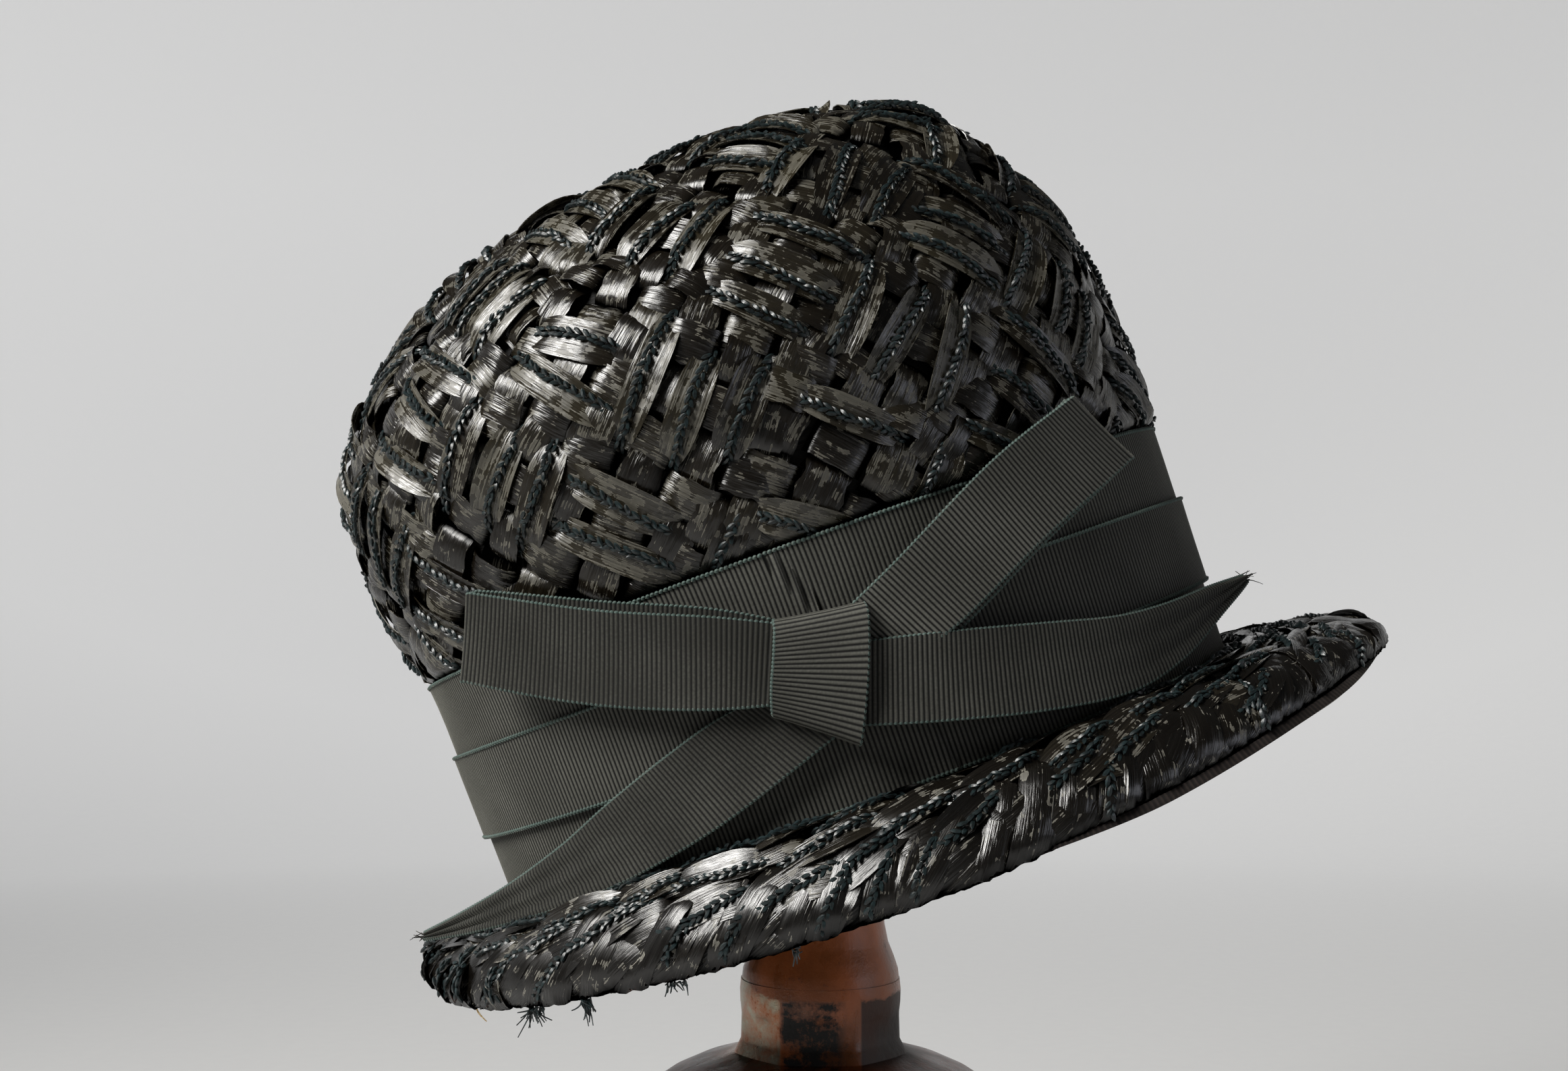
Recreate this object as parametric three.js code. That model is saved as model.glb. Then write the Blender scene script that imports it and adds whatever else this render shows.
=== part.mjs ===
import * as THREE from 'three';
import { mergeVertices } from 'three/addons/utils/BufferGeometryUtils.js';

// A woven straw cloche with a three-tier grosgrain band and a flat bow, leaning on a plain turned
// display stand. Millimetres and degrees, +Z up. The origin is the middle of the stand's foot.
// The hat is drawn upright in a frame of its own, whose origin is the middle of the band's top edge:
// +X is the hat's front end, and the bow is on its -Y side. Turns go round from the middle of the
// bow side, positive towards +X.

// Driving dimensions

const HAT_LEAN = 19.7; // lean of the hat on the stand, its back end down
const HAT_OFFSET = -7.6; // hat's middle from the stand's axis
const HAT_HEIGHT = 250; // middle of the band's top edge above the floor

const STRAW_THICKNESS = 2.6;
const RIBBON_THICKNESS = 1;
const GAP = 0.3; // between neighbouring pieces

const CROWN_FOOT = -64; // bottom rim of the crown
const TIER_LINE_UPPER = -20.5; // top edge of the middle tier
const TIER_LINE_LOWER = -43.5; // bottom edge of the middle tier
const TIER_OVERLAP = 2; // how far the middle tier covers the other two
const AROUND = 60; // facets round the hat
const CROWN_DOME_ROWS = [0.11, 0.22, 0.31, 0.39, 0.46, 0.53, 0.6, 0.68, 0.77, 0.88, 1]; // band top to tip

const BRIM_FRONT = 147; // from the hat's middle to the brim's edge
const BRIM_BACK = 133;
const BRIM_SIDE = 107.5;
const BRIM_ROLL = 0.86; // share of the reach at which the brim rolls down
const BINDING_WIDTH = [0.66, 0.96]; // stretch of the brim's section that the binding covers

const POST_RADIUS = 17.7;
const CAP_RADIUS = 45;
const CAP_DOME = 70; // radius of the cap's rounded top
const CAP_TOP = 367.1; // top of the cap above the floor
const NECK_RADIUS = 22;
const NECK_TOP = 133;

// The crown's outline in level sections, from its foot to just under its tip
const CROWN_SECTIONS = [
  { height: CROWN_FOOT, centre: 0, length: 104, breadth: 86.5 },
  { height: -32, centre: 0, length: 105.4, breadth: 88.6 },
  { height: 0, centre: -0.3, length: 107, breadth: 91 },
  { height: 20, centre: -2.3, length: 109, breadth: 94.2 },
  { height: 40, centre: -3.6, length: 109.7, breadth: 95.2 },
  { height: 60, centre: -3.8, length: 107, breadth: 92.4 },
  { height: 76, centre: -2.2, length: 98.8, breadth: 85.2 },
  { height: 90, centre: 2.2, length: 87.6, breadth: 73.8 },
  { height: 100, centre: 6.6, length: 77, breadth: 62.5 },
  { height: 107.6, centre: 11.4, length: 61.4, breadth: 48.5 },
  { height: 112.1, centre: 16, length: 43, breadth: 33 },
  { height: 114.3, centre: 19, length: 23, breadth: 17 },
  { height: 114.9, centre: 20, length: 0, breadth: 0 },
];

// How far the brim's edge hangs below the crown's foot, from the front end round to the back end
const BRIM_DROPS = [
  { turn: 0, drop: 8.5 },
  { turn: 40, drop: 13 },
  { turn: 68, drop: 19.6 },
  { turn: 90, drop: 22 },
  { turn: 125, drop: 19.6 },
  { turn: 150, drop: 15.5 },
  { turn: 180, drop: 5.5 },
];

// The bow's ribbons, outward from the knot. Standoff is measured from the middle tier's face, half is
// half of the width, and lean turns the width from upright, positive towards the front end.
const BOW_LENGTH = 108.6;
const BOW_BREADTH = 91.8;
const LEFT_LOOP = [
  { turn: -5, height: -26.5, standoff: 3.5, half: 7.4, lean: 24 },
  { turn: -14, height: -19.8, standoff: 4.4, half: 10.8, lean: 20 },
  { turn: -27, height: -9.4, standoff: 6, half: 11.2, lean: 23 },
  { turn: -42.6, height: 6, standoff: 11, half: 11.4, lean: 33 },
];
const RIGHT_LOOP = [
  { turn: 5.6, height: -27.5, standoff: 2.2, half: 5.4, lean: -27 },
  { turn: 13, height: -22.5, standoff: 3, half: 9.8, lean: -27 },
  { turn: 29, height: -8.1, standoff: 5, half: 11, lean: -24 },
  { turn: 44, height: 1.8, standoff: 9, half: 11.4, lean: -36 },
];
const LEFT_TAIL = [
  { turn: -3, height: -38, standoff: 1, half: 4.5, lean: -36 },
  { turn: -12.4, height: -42.2, standoff: 1, half: 10.2, lean: -30 },
  { turn: -22, height: -47.6, standoff: 1.2, half: 10.4, lean: -24 },
  { turn: -33, height: -53, standoff: 2, half: 9.2, lean: -19 },
  { turn: -43, height: -57.2, standoff: 4, half: 7, lean: -14 },
  { turn: -55, height: -60.2, standoff: 7.5, half: 4.6, lean: -8 },
  { turn: -67, height: -62, standoff: 14, half: 2.6, lean: -4 },
  { turn: -77, height: -62.8, standoff: 22, half: 0.8, lean: 0 },
];
const RIGHT_TAIL = [
  { turn: 2.5, height: -36.5, standoff: 4.6, half: 4.6, lean: 20 },
  { turn: 12.5, height: -41.7, standoff: 4.6, half: 9.4, lean: 18 },
  { turn: 25.3, height: -47.8, standoff: 3.2, half: 10.2, lean: 13 },
  { turn: 37.8, height: -52, standoff: 2.4, half: 9.2, lean: 8 },
  { turn: 48.5, height: -51.6, standoff: 3, half: 7, lean: 0 },
  { turn: 60.5, height: -48.6, standoff: 5, half: 3.8, lean: -6 },
  { turn: 72, height: -46.5, standoff: 9, half: 0.8, lean: -8 },
];
const KNOT = [
  { turn: 0.8, height: -17.9, standoff: 1.2, half: 10.6, lean: 98 },
  { turn: 0.8, height: -18, standoff: 4.6, half: 10.8, lean: 98 },
  { turn: 0.6, height: -20.4, standoff: 6.9, half: 11, lean: 99 },
  { turn: -0.8, height: -28, standoff: 7.6, half: 11, lean: 107 },
  { turn: -2.4, height: -35.5, standoff: 7.4, half: 11, lean: 117 },
  { turn: -3.8, height: -42, standoff: 5.8, half: 10.8, lean: 126 },
  { turn: -4.1, height: -43.4, standoff: 2.8, half: 10.4, lean: 128 },
];
const LOOP_DEPTH = 1.9; // from the middle of a loop's front ply to the middle of its back ply

// The turned body of the stand: radius against height
const STAND_BODY = [
  { radius: 0, height: 0 },
  { radius: 60, height: 0 },
  { radius: 62, height: 3 },
  { radius: 62, height: 9 },
  { radius: 55, height: 14 },
  { radius: 52, height: 30 },
  { radius: 55, height: 62 },
  { radius: 57, height: 84 },
  { radius: 53, height: 97 },
  { radius: 43, height: 106 },
  { radius: 30, height: 111 },
  { radius: 24, height: 113.5 },
  { radius: NECK_RADIUS, height: 117 },
  { radius: NECK_RADIUS + 0.6, height: 130 },
  { radius: NECK_RADIUS, height: NECK_TOP },
  { radius: 0, height: NECK_TOP },
];

// Materials

const material = (color, roughness, metalness = 0) =>
  new THREE.MeshStandardMaterial({ color, roughness, metalness });

const straw = () => material('#2b2823', 0.35);
const grosgrain = () => material('#3d3f3b', 0.85);
const bindingRibbon = () => material('#2a2320', 0.85);
const patinatedWood = () => material('#6b4a35', 0.5, 0.2);

// Building blocks

const radians = THREE.MathUtils.degToRad;

/** Smooth columns of a table as functions of one running number. */
function smoothTable(rows, keys, places, flatEnds = false) {
  const values = rows.flatMap((row) => keys.map((key) => row[key]));
  const curve = new THREE.CubicInterpolant(places, values, keys.length);
  if (flatEnds) {
    curve.settings = { endingStart: THREE.ZeroSlopeEnding, endingEnd: THREE.ZeroSlopeEnding };
  }
  return (place) => {
    const found = curve.evaluate(place);
    return Object.fromEntries(keys.map((key, index) => [key, found[index]]));
  };
}

/** Signed volume of a triangle soup, positive when its faces point out. */
function signedVolume(points, triangles) {
  let total = 0;
  for (const [a, b, c] of triangles) {
    total += points[a].dot(new THREE.Vector3().crossVectors(points[b], points[c]));
  }
  return total / 6;
}

/** One closed geometry from points and triangles, its shared points merged and its faces out. */
function solid(points, triangles) {
  const facing = signedVolume(points, triangles) < 0
    ? triangles.map(([a, b, c]) => [a, c, b])
    : triangles;
  const raw = new THREE.BufferGeometry();
  raw.setAttribute('position', new THREE.Float32BufferAttribute(points.flatMap((p) => p.toArray()), 3));
  raw.setIndex(facing.flat());
  const merged = mergeVertices(raw, 1e-3);
  const index = Array.from(merged.index.array);
  const kept = [];
  for (let i = 0; i < index.length; i += 3) {
    const [a, b, c] = index.slice(i, i + 3);
    if (a !== b && b !== c && c !== a) kept.push(a, b, c);
  }
  merged.setIndex(kept);
  merged.computeVertexNormals();
  return merged;
}

/** Quads between matching points of two closed loops, as triangles. */
function bridge(first, second, size) {
  const triangles = [];
  for (let i = 0; i < size; i += 1) {
    const next = (i + 1) % size;
    triangles.push([first + i, second + i, second + next], [first + i, second + next, first + next]);
  }
  return triangles;
}

/** Solid through closed loops that go all the way round and meet. */
function ringLoft(loops) {
  const size = loops[0].length;
  const triangles = loops.flatMap((_, i) => bridge(i * size, ((i + 1) % loops.length) * size, size));
  return solid(loops.flat(), triangles);
}

/** Solid through closed four-point loops, capped at both ends. */
function stripLoft(loops) {
  const size = loops[0].length;
  const last = (loops.length - 1) * size;
  const triangles = loops.slice(1).flatMap((_, i) => bridge(i * size, (i + 1) * size, size));
  triangles.push([0, 1, 2], [0, 2, 3], [last, last + 2, last + 1], [last, last + 3, last + 2]);
  return solid(loops.flat(), triangles);
}

/** Evenly spread turns round the hat. */
const turns = Array.from({ length: AROUND }, (_, i) => (360 * i) / AROUND);

/** Unit direction of a turn, measured from the middle of the bow side. */
function direction(turn) {
  return new THREE.Vector3(Math.sin(radians(turn)), -Math.cos(radians(turn)), 0);
}

// Crown

/** Places of the crown's sections along its outline, as distances from its foot. */
function outlinePlaces(sections) {
  const places = [0];
  for (let i = 1; i < sections.length; i += 1) {
    const rise = sections[i].height - sections[i - 1].height;
    const run = sections[i].length - sections[i - 1].length;
    places.push(places[i - 1] + Math.hypot(rise, run));
  }
  return places;
}

const crownPlaces = outlinePlaces(CROWN_SECTIONS);
const crownTip = crownPlaces[crownPlaces.length - 1];
const crownSection = smoothTable(CROWN_SECTIONS, ['height', 'centre', 'length', 'breadth'], crownPlaces);

/** Point of the crown's outer face. */
function crownFace(place, turn) {
  const { height, centre, length, breadth } = crownSection(place);
  const way = direction(turn);
  return new THREE.Vector3(centre + length * way.x, breadth * way.y, height);
}

/** Point off the crown's outer face along its normal. */
function crownPoint(place, turn, offset) {
  if (place >= crownTip) return crownFace(crownTip, 0).add(new THREE.Vector3(0, 0, offset));
  const step = 0.5;
  const [below, above] = [Math.max(place - step, 0), Math.min(place + step, crownTip)];
  const up = crownFace(above, turn).sub(crownFace(below, turn));
  const along = crownFace(place, turn + step).sub(crownFace(place, turn - step));
  return crownFace(place, turn).addScaledVector(along.cross(up).normalize(), offset);
}

/** Distance along the crown's outline at which a height below its widest level is reached. */
function placeOfHeight(height) {
  const upper = CROWN_SECTIONS.findIndex((section) => section.height >= height);
  const first = Math.max(upper, 1);
  const [low, high] = [CROWN_SECTIONS[first - 1].height, CROWN_SECTIONS[first].height];
  return THREE.MathUtils.mapLinear(height, low, high, crownPlaces[first - 1], crownPlaces[first]);
}

/** The crown: an open shell of woven straw. */
function crownGeometry() {
  const bandRows = [CROWN_FOOT, TIER_LINE_LOWER, TIER_LINE_UPPER, 0].map(placeOfHeight);
  const domeRows = CROWN_DOME_ROWS.map((share) => THREE.MathUtils.lerp(bandRows[3], crownTip, share));
  const places = [...bandRows, ...domeRows];
  return ringLoft(turns.map((turn) => [
    ...places.map((place) => crownPoint(place, turn, 0)),
    ...places.toReversed().map((place) => crownPoint(place, turn, -STRAW_THICKNESS)),
  ]));
}

/** One tier of the band, wrapped round the crown between two heights. */
function tierGeometry(bottom, top, offset) {
  const lines = [TIER_LINE_LOWER, TIER_LINE_UPPER].filter((line) => line > bottom && line < top);
  const places = [bottom, ...lines, top].map(placeOfHeight);
  return ringLoft(turns.map((turn) => [
    ...places.map((place) => crownPoint(place, turn, offset + RIBBON_THICKNESS)),
    ...places.toReversed().map((place) => crownPoint(place, turn, offset)),
  ]));
}

// Brim

const dropTurns = BRIM_DROPS.map((row) => row.turn);
const brimDrop = smoothTable(BRIM_DROPS, ['drop'], dropTurns, true);

/** Middle line of the brim's section: a gentle run outward that rolls down at the edge. */
function brimLine(turn, share, offset) {
  const way = direction(turn);
  const root = crownFace(0, turn).setZ(CROWN_FOOT - GAP - STRAW_THICKNESS / 2);
  const fromFront = Math.abs(THREE.MathUtils.euclideanModulo(turn - 90 + 180, 360) - 180);
  const reach = way.x > 0 ? BRIM_FRONT : BRIM_BACK;
  const edge = new THREE.Vector3(reach * way.x, BRIM_SIDE * way.y, root.z - brimDrop(fromFront).drop);
  const shoulder = new THREE.Vector3().lerpVectors(root, edge, BRIM_ROLL).setZ(root.z);
  const section = new THREE.QuadraticBezierCurve3(root, shoulder, edge);
  const tangent = section.getTangent(share);
  const outward = edge.clone().sub(root).setZ(0).normalize();
  const rise = new THREE.Vector3(0, 0, tangent.dot(outward)).addScaledVector(outward, -tangent.z);
  return section.getPoint(share).addScaledVector(rise.normalize(), offset);
}

/** The brim: a straw ring from under the crown's rim out to its rolled edge. */
function brimGeometry() {
  const half = STRAW_THICKNESS / 2;
  const shares = [0.05, 0.3, 0.5, 0.68, 0.84, 1];
  return ringLoft(turns.map((turn) => {
    const inner = crownPoint(0, turn, -STRAW_THICKNESS);
    const roll = brimLine(turn, 1, 0).lerp(brimLine(turn, 0.96, 0), -0.9);
    return [
      inner.clone().setZ(CROWN_FOOT - GAP),
      ...shares.map((share) => brimLine(turn, share, half)),
      roll,
      ...shares.toReversed().map((share) => brimLine(turn, share, -half)),
      inner.clone().setZ(CROWN_FOOT - GAP - STRAW_THICKNESS),
    ];
  }));
}

/** The ribbon that binds the underside of the brim's edge. */
function bindingGeometry() {
  const near = -STRAW_THICKNESS / 2 - GAP;
  const [start, end] = BINDING_WIDTH;
  const shares = [start, (start + end) / 2, end];
  return ringLoft(turns.map((turn) => [
    ...shares.map((share) => brimLine(turn, share, near)),
    ...shares.toReversed().map((share) => brimLine(turn, share, near - RIBBON_THICKNESS)),
  ]));
}

// Bow

/** Middle and half-width arrow of one row of a bow ribbon. */
function bowRow({ turn, height, standoff, half, lean }) {
  const way = direction(turn);
  const length = BOW_LENGTH + standoff;
  const breadth = BOW_BREADTH + standoff;
  const middle = new THREE.Vector3(length * way.x, breadth * way.y, height);
  const along = new THREE.Vector3(-length * way.y, breadth * way.x, 0).normalize();
  const width = along.multiplyScalar(Math.sin(radians(lean)));
  width.z = Math.cos(radians(lean));
  return { middle, width: width.multiplyScalar(half) };
}

/** A flat ribbon of even thickness through rows of a middle and a half-width arrow. */
function ribbonGeometry(rows) {
  const loops = rows.map(({ middle, width }, i) => {
    const before = rows[Math.max(i - 1, 0)].middle;
    const after = rows[Math.min(i + 1, rows.length - 1)].middle;
    const normal = after.clone().sub(before).cross(width).normalize();
    const face = (side, depth) => middle.clone().addScaledVector(width, side).addScaledVector(normal, depth);
    const half = RIBBON_THICKNESS / 2;
    return [face(-1, half), face(1, half), face(1, -half), face(-1, -half)];
  });
  return stripLoft(loops);
}

/** Rows of a smoothed bow table. */
function smoothRows(table, steps) {
  const keys = ['turn', 'height', 'standoff', 'half', 'lean'];
  const places = table.map((_, i) => i);
  const row = smoothTable(table, keys, places);
  const last = table.length - 1;
  return Array.from({ length: steps + 1 }, (_, i) => row((last * i) / steps));
}

/** A loop of the bow: out along the front ply, round the fold and back along the back ply. */
function loopGeometry(table) {
  const steps = 9;
  const rows = smoothRows(table, steps);
  const shifted = (row, depth) => bowRow({ ...row, standoff: row.standoff + depth });
  const tip = bowRow({ ...rows[steps], turn: rows[steps].turn + Math.sign(rows[steps].turn) * 0.9 });
  return ribbonGeometry([
    ...rows.map((row) => shifted(row, LOOP_DEPTH / 2)),
    tip,
    ...rows.toReversed().map((row) => shifted(row, -LOOP_DEPTH / 2)),
  ]);
}

const tailGeometry = (table) => ribbonGeometry(smoothRows(table, 12).map(bowRow));
const knotGeometry = () => ribbonGeometry(smoothRows(KNOT, 12).map(bowRow));

// Stand

/** The turned body and neck of the stand. */
function standBodyGeometry() {
  const profile = STAND_BODY.map(({ radius, height }) => new THREE.Vector2(radius, height));
  return new THREE.LatheGeometry(profile, 40).rotateX(Math.PI / 2);
}

/** The plain post and cap that hold the crown up from inside. */
function standPostGeometry() {
  const rim = CAP_TOP - CAP_DOME + Math.sqrt(CAP_DOME ** 2 - CAP_RADIUS ** 2);
  const profile = [
    new THREE.Vector2(0, NECK_TOP + GAP),
    new THREE.Vector2(POST_RADIUS, NECK_TOP + GAP),
    new THREE.Vector2(POST_RADIUS, rim - 14),
    new THREE.Vector2(CAP_RADIUS, rim - 5),
    new THREE.Vector2(CAP_RADIUS, rim),
  ];
  const rimAngle = Math.asin(CAP_RADIUS / CAP_DOME);
  for (const share of [0.75, 0.5, 0.25, 0]) {
    const angle = rimAngle * share;
    profile.push(new THREE.Vector2(CAP_DOME * Math.sin(angle), CAP_TOP - CAP_DOME * (1 - Math.cos(angle))));
  }
  return new THREE.LatheGeometry(profile, 32).rotateX(Math.PI / 2);
}

// Assembly

/** A named mesh with its own material. */
function piece(name, geometry, finish) {
  const mesh = new THREE.Mesh(geometry, finish);
  mesh.name = name;
  return mesh;
}

const hat = new THREE.Group();
hat.position.set(HAT_OFFSET, 0, HAT_HEIGHT);
hat.rotation.y = radians(-HAT_LEAN);
const tierOuter = GAP + RIBBON_THICKNESS + GAP;
hat.add(
  piece('crown', crownGeometry(), straw()),
  piece('brim', brimGeometry(), straw()),
  piece('brim_binding', bindingGeometry(), bindingRibbon()),
  piece('band_upper', tierGeometry(TIER_LINE_UPPER - TIER_OVERLAP, 0, GAP), grosgrain()),
  piece('band_middle', tierGeometry(TIER_LINE_LOWER, TIER_LINE_UPPER, tierOuter), grosgrain()),
  piece('band_lower', tierGeometry(CROWN_FOOT + GAP, TIER_LINE_LOWER + TIER_OVERLAP, GAP), grosgrain()),
  piece('bow_loop_left', loopGeometry(LEFT_LOOP), grosgrain()),
  piece('bow_loop_right', loopGeometry(RIGHT_LOOP), grosgrain()),
  piece('bow_tail_left', tailGeometry(LEFT_TAIL), grosgrain()),
  piece('bow_tail_right', tailGeometry(RIGHT_TAIL), grosgrain()),
  piece('bow_knot', knotGeometry(), grosgrain()),
);

const part = new THREE.Group();
part.add(
  hat,
  piece('stand_body', standBodyGeometry(), patinatedWood()),
  piece('stand_post', standPostGeometry(), patinatedWood()),
);

export default part;
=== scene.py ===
"""Visual model of a woven straw cloche hat on a turned wooden stand.

The hat is drawn upright in millimetres in a frame of its own, the same one that the CAD uses: its
origin is the middle of the band's top edge, +X is the hat's front end and the bow is on its -Y side.
Turns are degrees round from the middle of the bow side, positive towards +X. Everything is placed in
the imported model's frame, in metres, only when a mesh is finished.
"""

import logging
import math
from collections.abc import Callable, Sequence
from dataclasses import dataclass, field
from enum import Enum
from functools import partial

import bmesh
import bpy
import numpy as np
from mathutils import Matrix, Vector
from mathutils.bvhtree import BVHTree


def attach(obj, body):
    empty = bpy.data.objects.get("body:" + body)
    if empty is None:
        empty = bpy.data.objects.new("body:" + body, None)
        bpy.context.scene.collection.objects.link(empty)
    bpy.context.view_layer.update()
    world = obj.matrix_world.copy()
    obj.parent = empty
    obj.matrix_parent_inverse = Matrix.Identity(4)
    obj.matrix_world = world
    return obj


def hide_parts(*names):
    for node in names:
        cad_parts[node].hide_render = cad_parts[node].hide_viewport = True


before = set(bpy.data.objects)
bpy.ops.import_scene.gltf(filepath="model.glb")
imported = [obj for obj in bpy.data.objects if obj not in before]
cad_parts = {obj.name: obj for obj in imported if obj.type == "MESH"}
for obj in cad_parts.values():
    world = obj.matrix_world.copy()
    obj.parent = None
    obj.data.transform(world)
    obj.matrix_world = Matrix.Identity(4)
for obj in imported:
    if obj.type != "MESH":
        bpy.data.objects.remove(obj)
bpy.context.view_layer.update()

Array = np.ndarray
Pair = tuple[float, float]
AddNode = Callable[..., bpy.types.Node]
Press = Callable[[Array, Array], tuple[Array, Array, Array]]
LOG = logging.getLogger("cloche")

HAT_LEAN = math.radians(19.7)
HAT_MIDDLE = np.array([-7.6, 0.0, 250.0])
MILLIMETRE = 0.001
STRAW_THICKNESS = 2.6
RIBBON_THICKNESS = 1.0
GAP = 0.3
CROWN_FOOT = -64.0
RIB_PITCH = 1.2  # between the weft cords of the grosgrain
STRIP_PITCH = 12.2  # between the middles of neighbouring strips of the weave


class Space(Enum):
    """Frame in which a mesh's points are given."""

    HAT = "hat"
    ROW = "row"


def linear(code: str) -> tuple[float, float, float, float]:
    """Turn an sRGB hex colour into linear RGBA.

    Args:
        code: Colour such as "#2b2823".

    Returns:
        Red, green, blue and alpha, from 0 to 1.
    """
    parts = [int(code[i : i + 2], 16) / 255 for i in (1, 3, 5)]
    return (*(p / 12.92 if p <= 0.04045 else ((p + 0.055) / 1.055) ** 2.4 for p in parts), 1.0)


def add_node(
    tree: bpy.types.NodeTree,
    kind: str,
    inputs: dict[str | int, object] | Sequence[object] = (),
    stops: Sequence[tuple[float, str]] = (),
    **settings: object,
) -> bpy.types.Node:
    """Add one node with its settings and its links.

    Args:
        tree: Node tree that takes the node.
        kind: Blender's name of the node type, after its usual "ShaderNode".
        inputs: Values, sockets or nodes, in order or by input name or number. A node gives the output
            that is in use.
        stops: Position and sRGB hex colour of each stop of a colour ramp.
        settings: The node's own properties.

    Returns:
        The new node.
    """
    made = tree.nodes.new(f"ShaderNode{kind}")
    for key, value in settings.items():
        setattr(made, key, value)
    for key, value in inputs.items() if isinstance(inputs, dict) else enumerate(inputs):
        if isinstance(value, bpy.types.Node):
            value = next(socket for socket in value.outputs if socket.enabled)
        if isinstance(value, bpy.types.NodeSocket):
            tree.links.new(value, made.inputs[key])
        else:
            made.inputs[key].default_value = value
    if stops:
        elements = made.color_ramp.elements
        while len(elements) < len(stops):
            elements.new(0.5)
        for element, (position, code) in zip(elements, stops):
            element.position, element.color = position, linear(code)
    return made


def start_material(name: str) -> tuple[bpy.types.Material, AddNode]:
    """Make an empty material.

    Args:
        name: Name of the material.

    Returns:
        The material, and add_node for its own node tree.
    """
    made = bpy.data.materials.new(name)
    made.use_nodes = True
    made.node_tree.nodes.clear()
    return made, partial(add_node, made.node_tree)


def end_material(node: AddNode, inputs: dict[str, object]) -> None:
    """Add a material's shader and its output.

    Args:
        node: add_node for the material's node tree.
        inputs: The shader's inputs, by name.
    """
    node("OutputMaterial", {"Surface": node("BsdfPrincipled", inputs)})


def strip_noise(node: AddNode, along: float, across: float, detail: float, shift: float = 0.0) -> bpy.types.Node:
    """Noise drawn out along a strip, over its length and width in millimetres.

    Args:
        node: add_node for the material's node tree.
        along: Grains per millimetre along the strip.
        across: Grains per millimetre across it.
        detail: Octaves of noise.
        shift: Offset that makes the noise a different one.

    Returns:
        The noise, about 0.5 on average.
    """
    place = node("UVMap", uv_map="strip")
    mapped = node("Mapping", {"Vector": place, "Scale": (along, across, 1.0), "Location": (shift, shift, shift)})
    return node("TexNoise", {"Vector": mapped, "Scale": 1.0, "Detail": detail})


def body_noise(node: AddNode, millimetres: float, detail: float, roughness: float = 0.5) -> bpy.types.Node:
    """Noise through the object itself.

    Args:
        node: add_node for the material's node tree.
        millimetres: Size of the grain.
        detail: Octaves of noise.
        roughness: Share of the finer octaves.

    Returns:
        The noise, about 0.5 on average.
    """
    place = node("TexCoord").outputs["Object"]
    values = {"Vector": place, "Scale": 1 / (millimetres * MILLIMETRE), "Detail": detail, "Roughness": roughness}
    return node("TexNoise", values)


@dataclass(frozen=True)
class LacqueredStraw:
    """Flat raffia-like straw, dyed nearly black, split and lacquered.

    The lacquer is dark and wet where it is whole. Where it has crazed and rubbed, crisp-edged islands
    scatter the light as silver. Fine fibres run the length of every strip. Where a strip dives into the
    weave, its colour is painted down to near black and its shine cut, as painted shade.
    """

    name: str = "lacquered_split_straw"
    deep: str = "#090705"
    skin: str = "#15110b"
    brown: str = "#2c281d"
    silver: str = "#747166"
    painted_hollow_shade: str = "#010101"  # painted shade where the straw dives into the weave
    fibres_per_mm: float = 2.4  # real ones are about 8 per mm, too fine to show
    fibre_pull: float = 0.62  # how far the fibres tear an island's edge
    tone_pull: float = 0.17  # how much more a light strip has rubbed
    gloss: float = 0.2
    rubbed: float = 0.4
    island_start: float = 0.56
    dent: float = 1.5
    shine: float = 0.62

    def make(self) -> bpy.types.Material:
        """Build the straw's material."""
        made, node = start_material(self.name)
        tone = node("Attribute", attribute_name="tone").outputs["Fac"]
        lie = node("Attribute", attribute_name="lie").outputs["Fac"]
        fibres = strip_noise(node, 0.05, self.fibres_per_mm, 4.0)
        coarse = strip_noise(node, 0.3, 0.3, 6.0, 7.0)
        torn = node("Math", (fibres, self.fibre_pull, coarse), operation="MULTIPLY_ADD")
        torn = node("Math", (tone, self.tone_pull, torn), operation="MULTIPLY_ADD")
        start = self.island_start + (self.fibre_pull + self.tone_pull) / 2
        crisp = node("MapRange", (torn, start, start + 0.02, 0.0, 1.0))
        rim = node("MapRange", (torn, start + 0.02, start + 0.07, 1.0, 0.45))
        shade = node("Math", (fibres, 0.5), operation="MULTIPLY")
        shade = node("Math", (tone, 0.6, shade), operation="MULTIPLY_ADD")
        colour = node("ValToRGB", (shade,), [(0.15, self.deep), (0.5, self.skin), (0.9, self.brown)])
        lines = node("Math", (crisp, rim), operation="MULTIPLY")
        split = node("MapRange", (fibres, 0.32, 0.62, 0.2, 1.0))
        lines = node("Math", (lines, split), operation="MULTIPLY")
        mixed = node("Mix", {0: lines, 6: colour, 7: linear(self.silver)}, data_type="RGBA")
        # painted shade: where a point lies low in the weave, its colour sinks to near black and its shine is cut
        proud = node("Math", (fibres, 0.25, lie), operation="MULTIPLY_ADD")
        clear = node("MapRange", (proud, 0.545, 1.005, 0.0, 1.0))
        painted_shaded_colour = node("Mix", {0: clear, 6: linear(self.painted_hollow_shade), 7: mixed}, data_type="RGBA")
        rough = node("MapRange", (crisp, 0.0, 1.0, self.gloss, self.rubbed))
        grain = node("MapRange", (fibres, 0.3, 0.7, -0.06, 0.08))
        dents = node("Math", (strip_noise(node, 0.09, 0.3, 2.0, 3.0), self.dent), operation="MULTIPLY")
        height = node("Math", (fibres, 0.35, dents), operation="MULTIPLY_ADD")
        end_material(
            node,
            {
                "Base Color": painted_shaded_colour,
                "Roughness": node("Math", (rough, grain), operation="ADD"),
                "Normal": node("Bump", {"Height": height, "Strength": 0.7, "Distance": 0.0008}),
                "Specular IOR Level": node("Math", (clear, self.shine), operation="MULTIPLY"),
                "IOR": 1.55,
            },
        )
        return made


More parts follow.
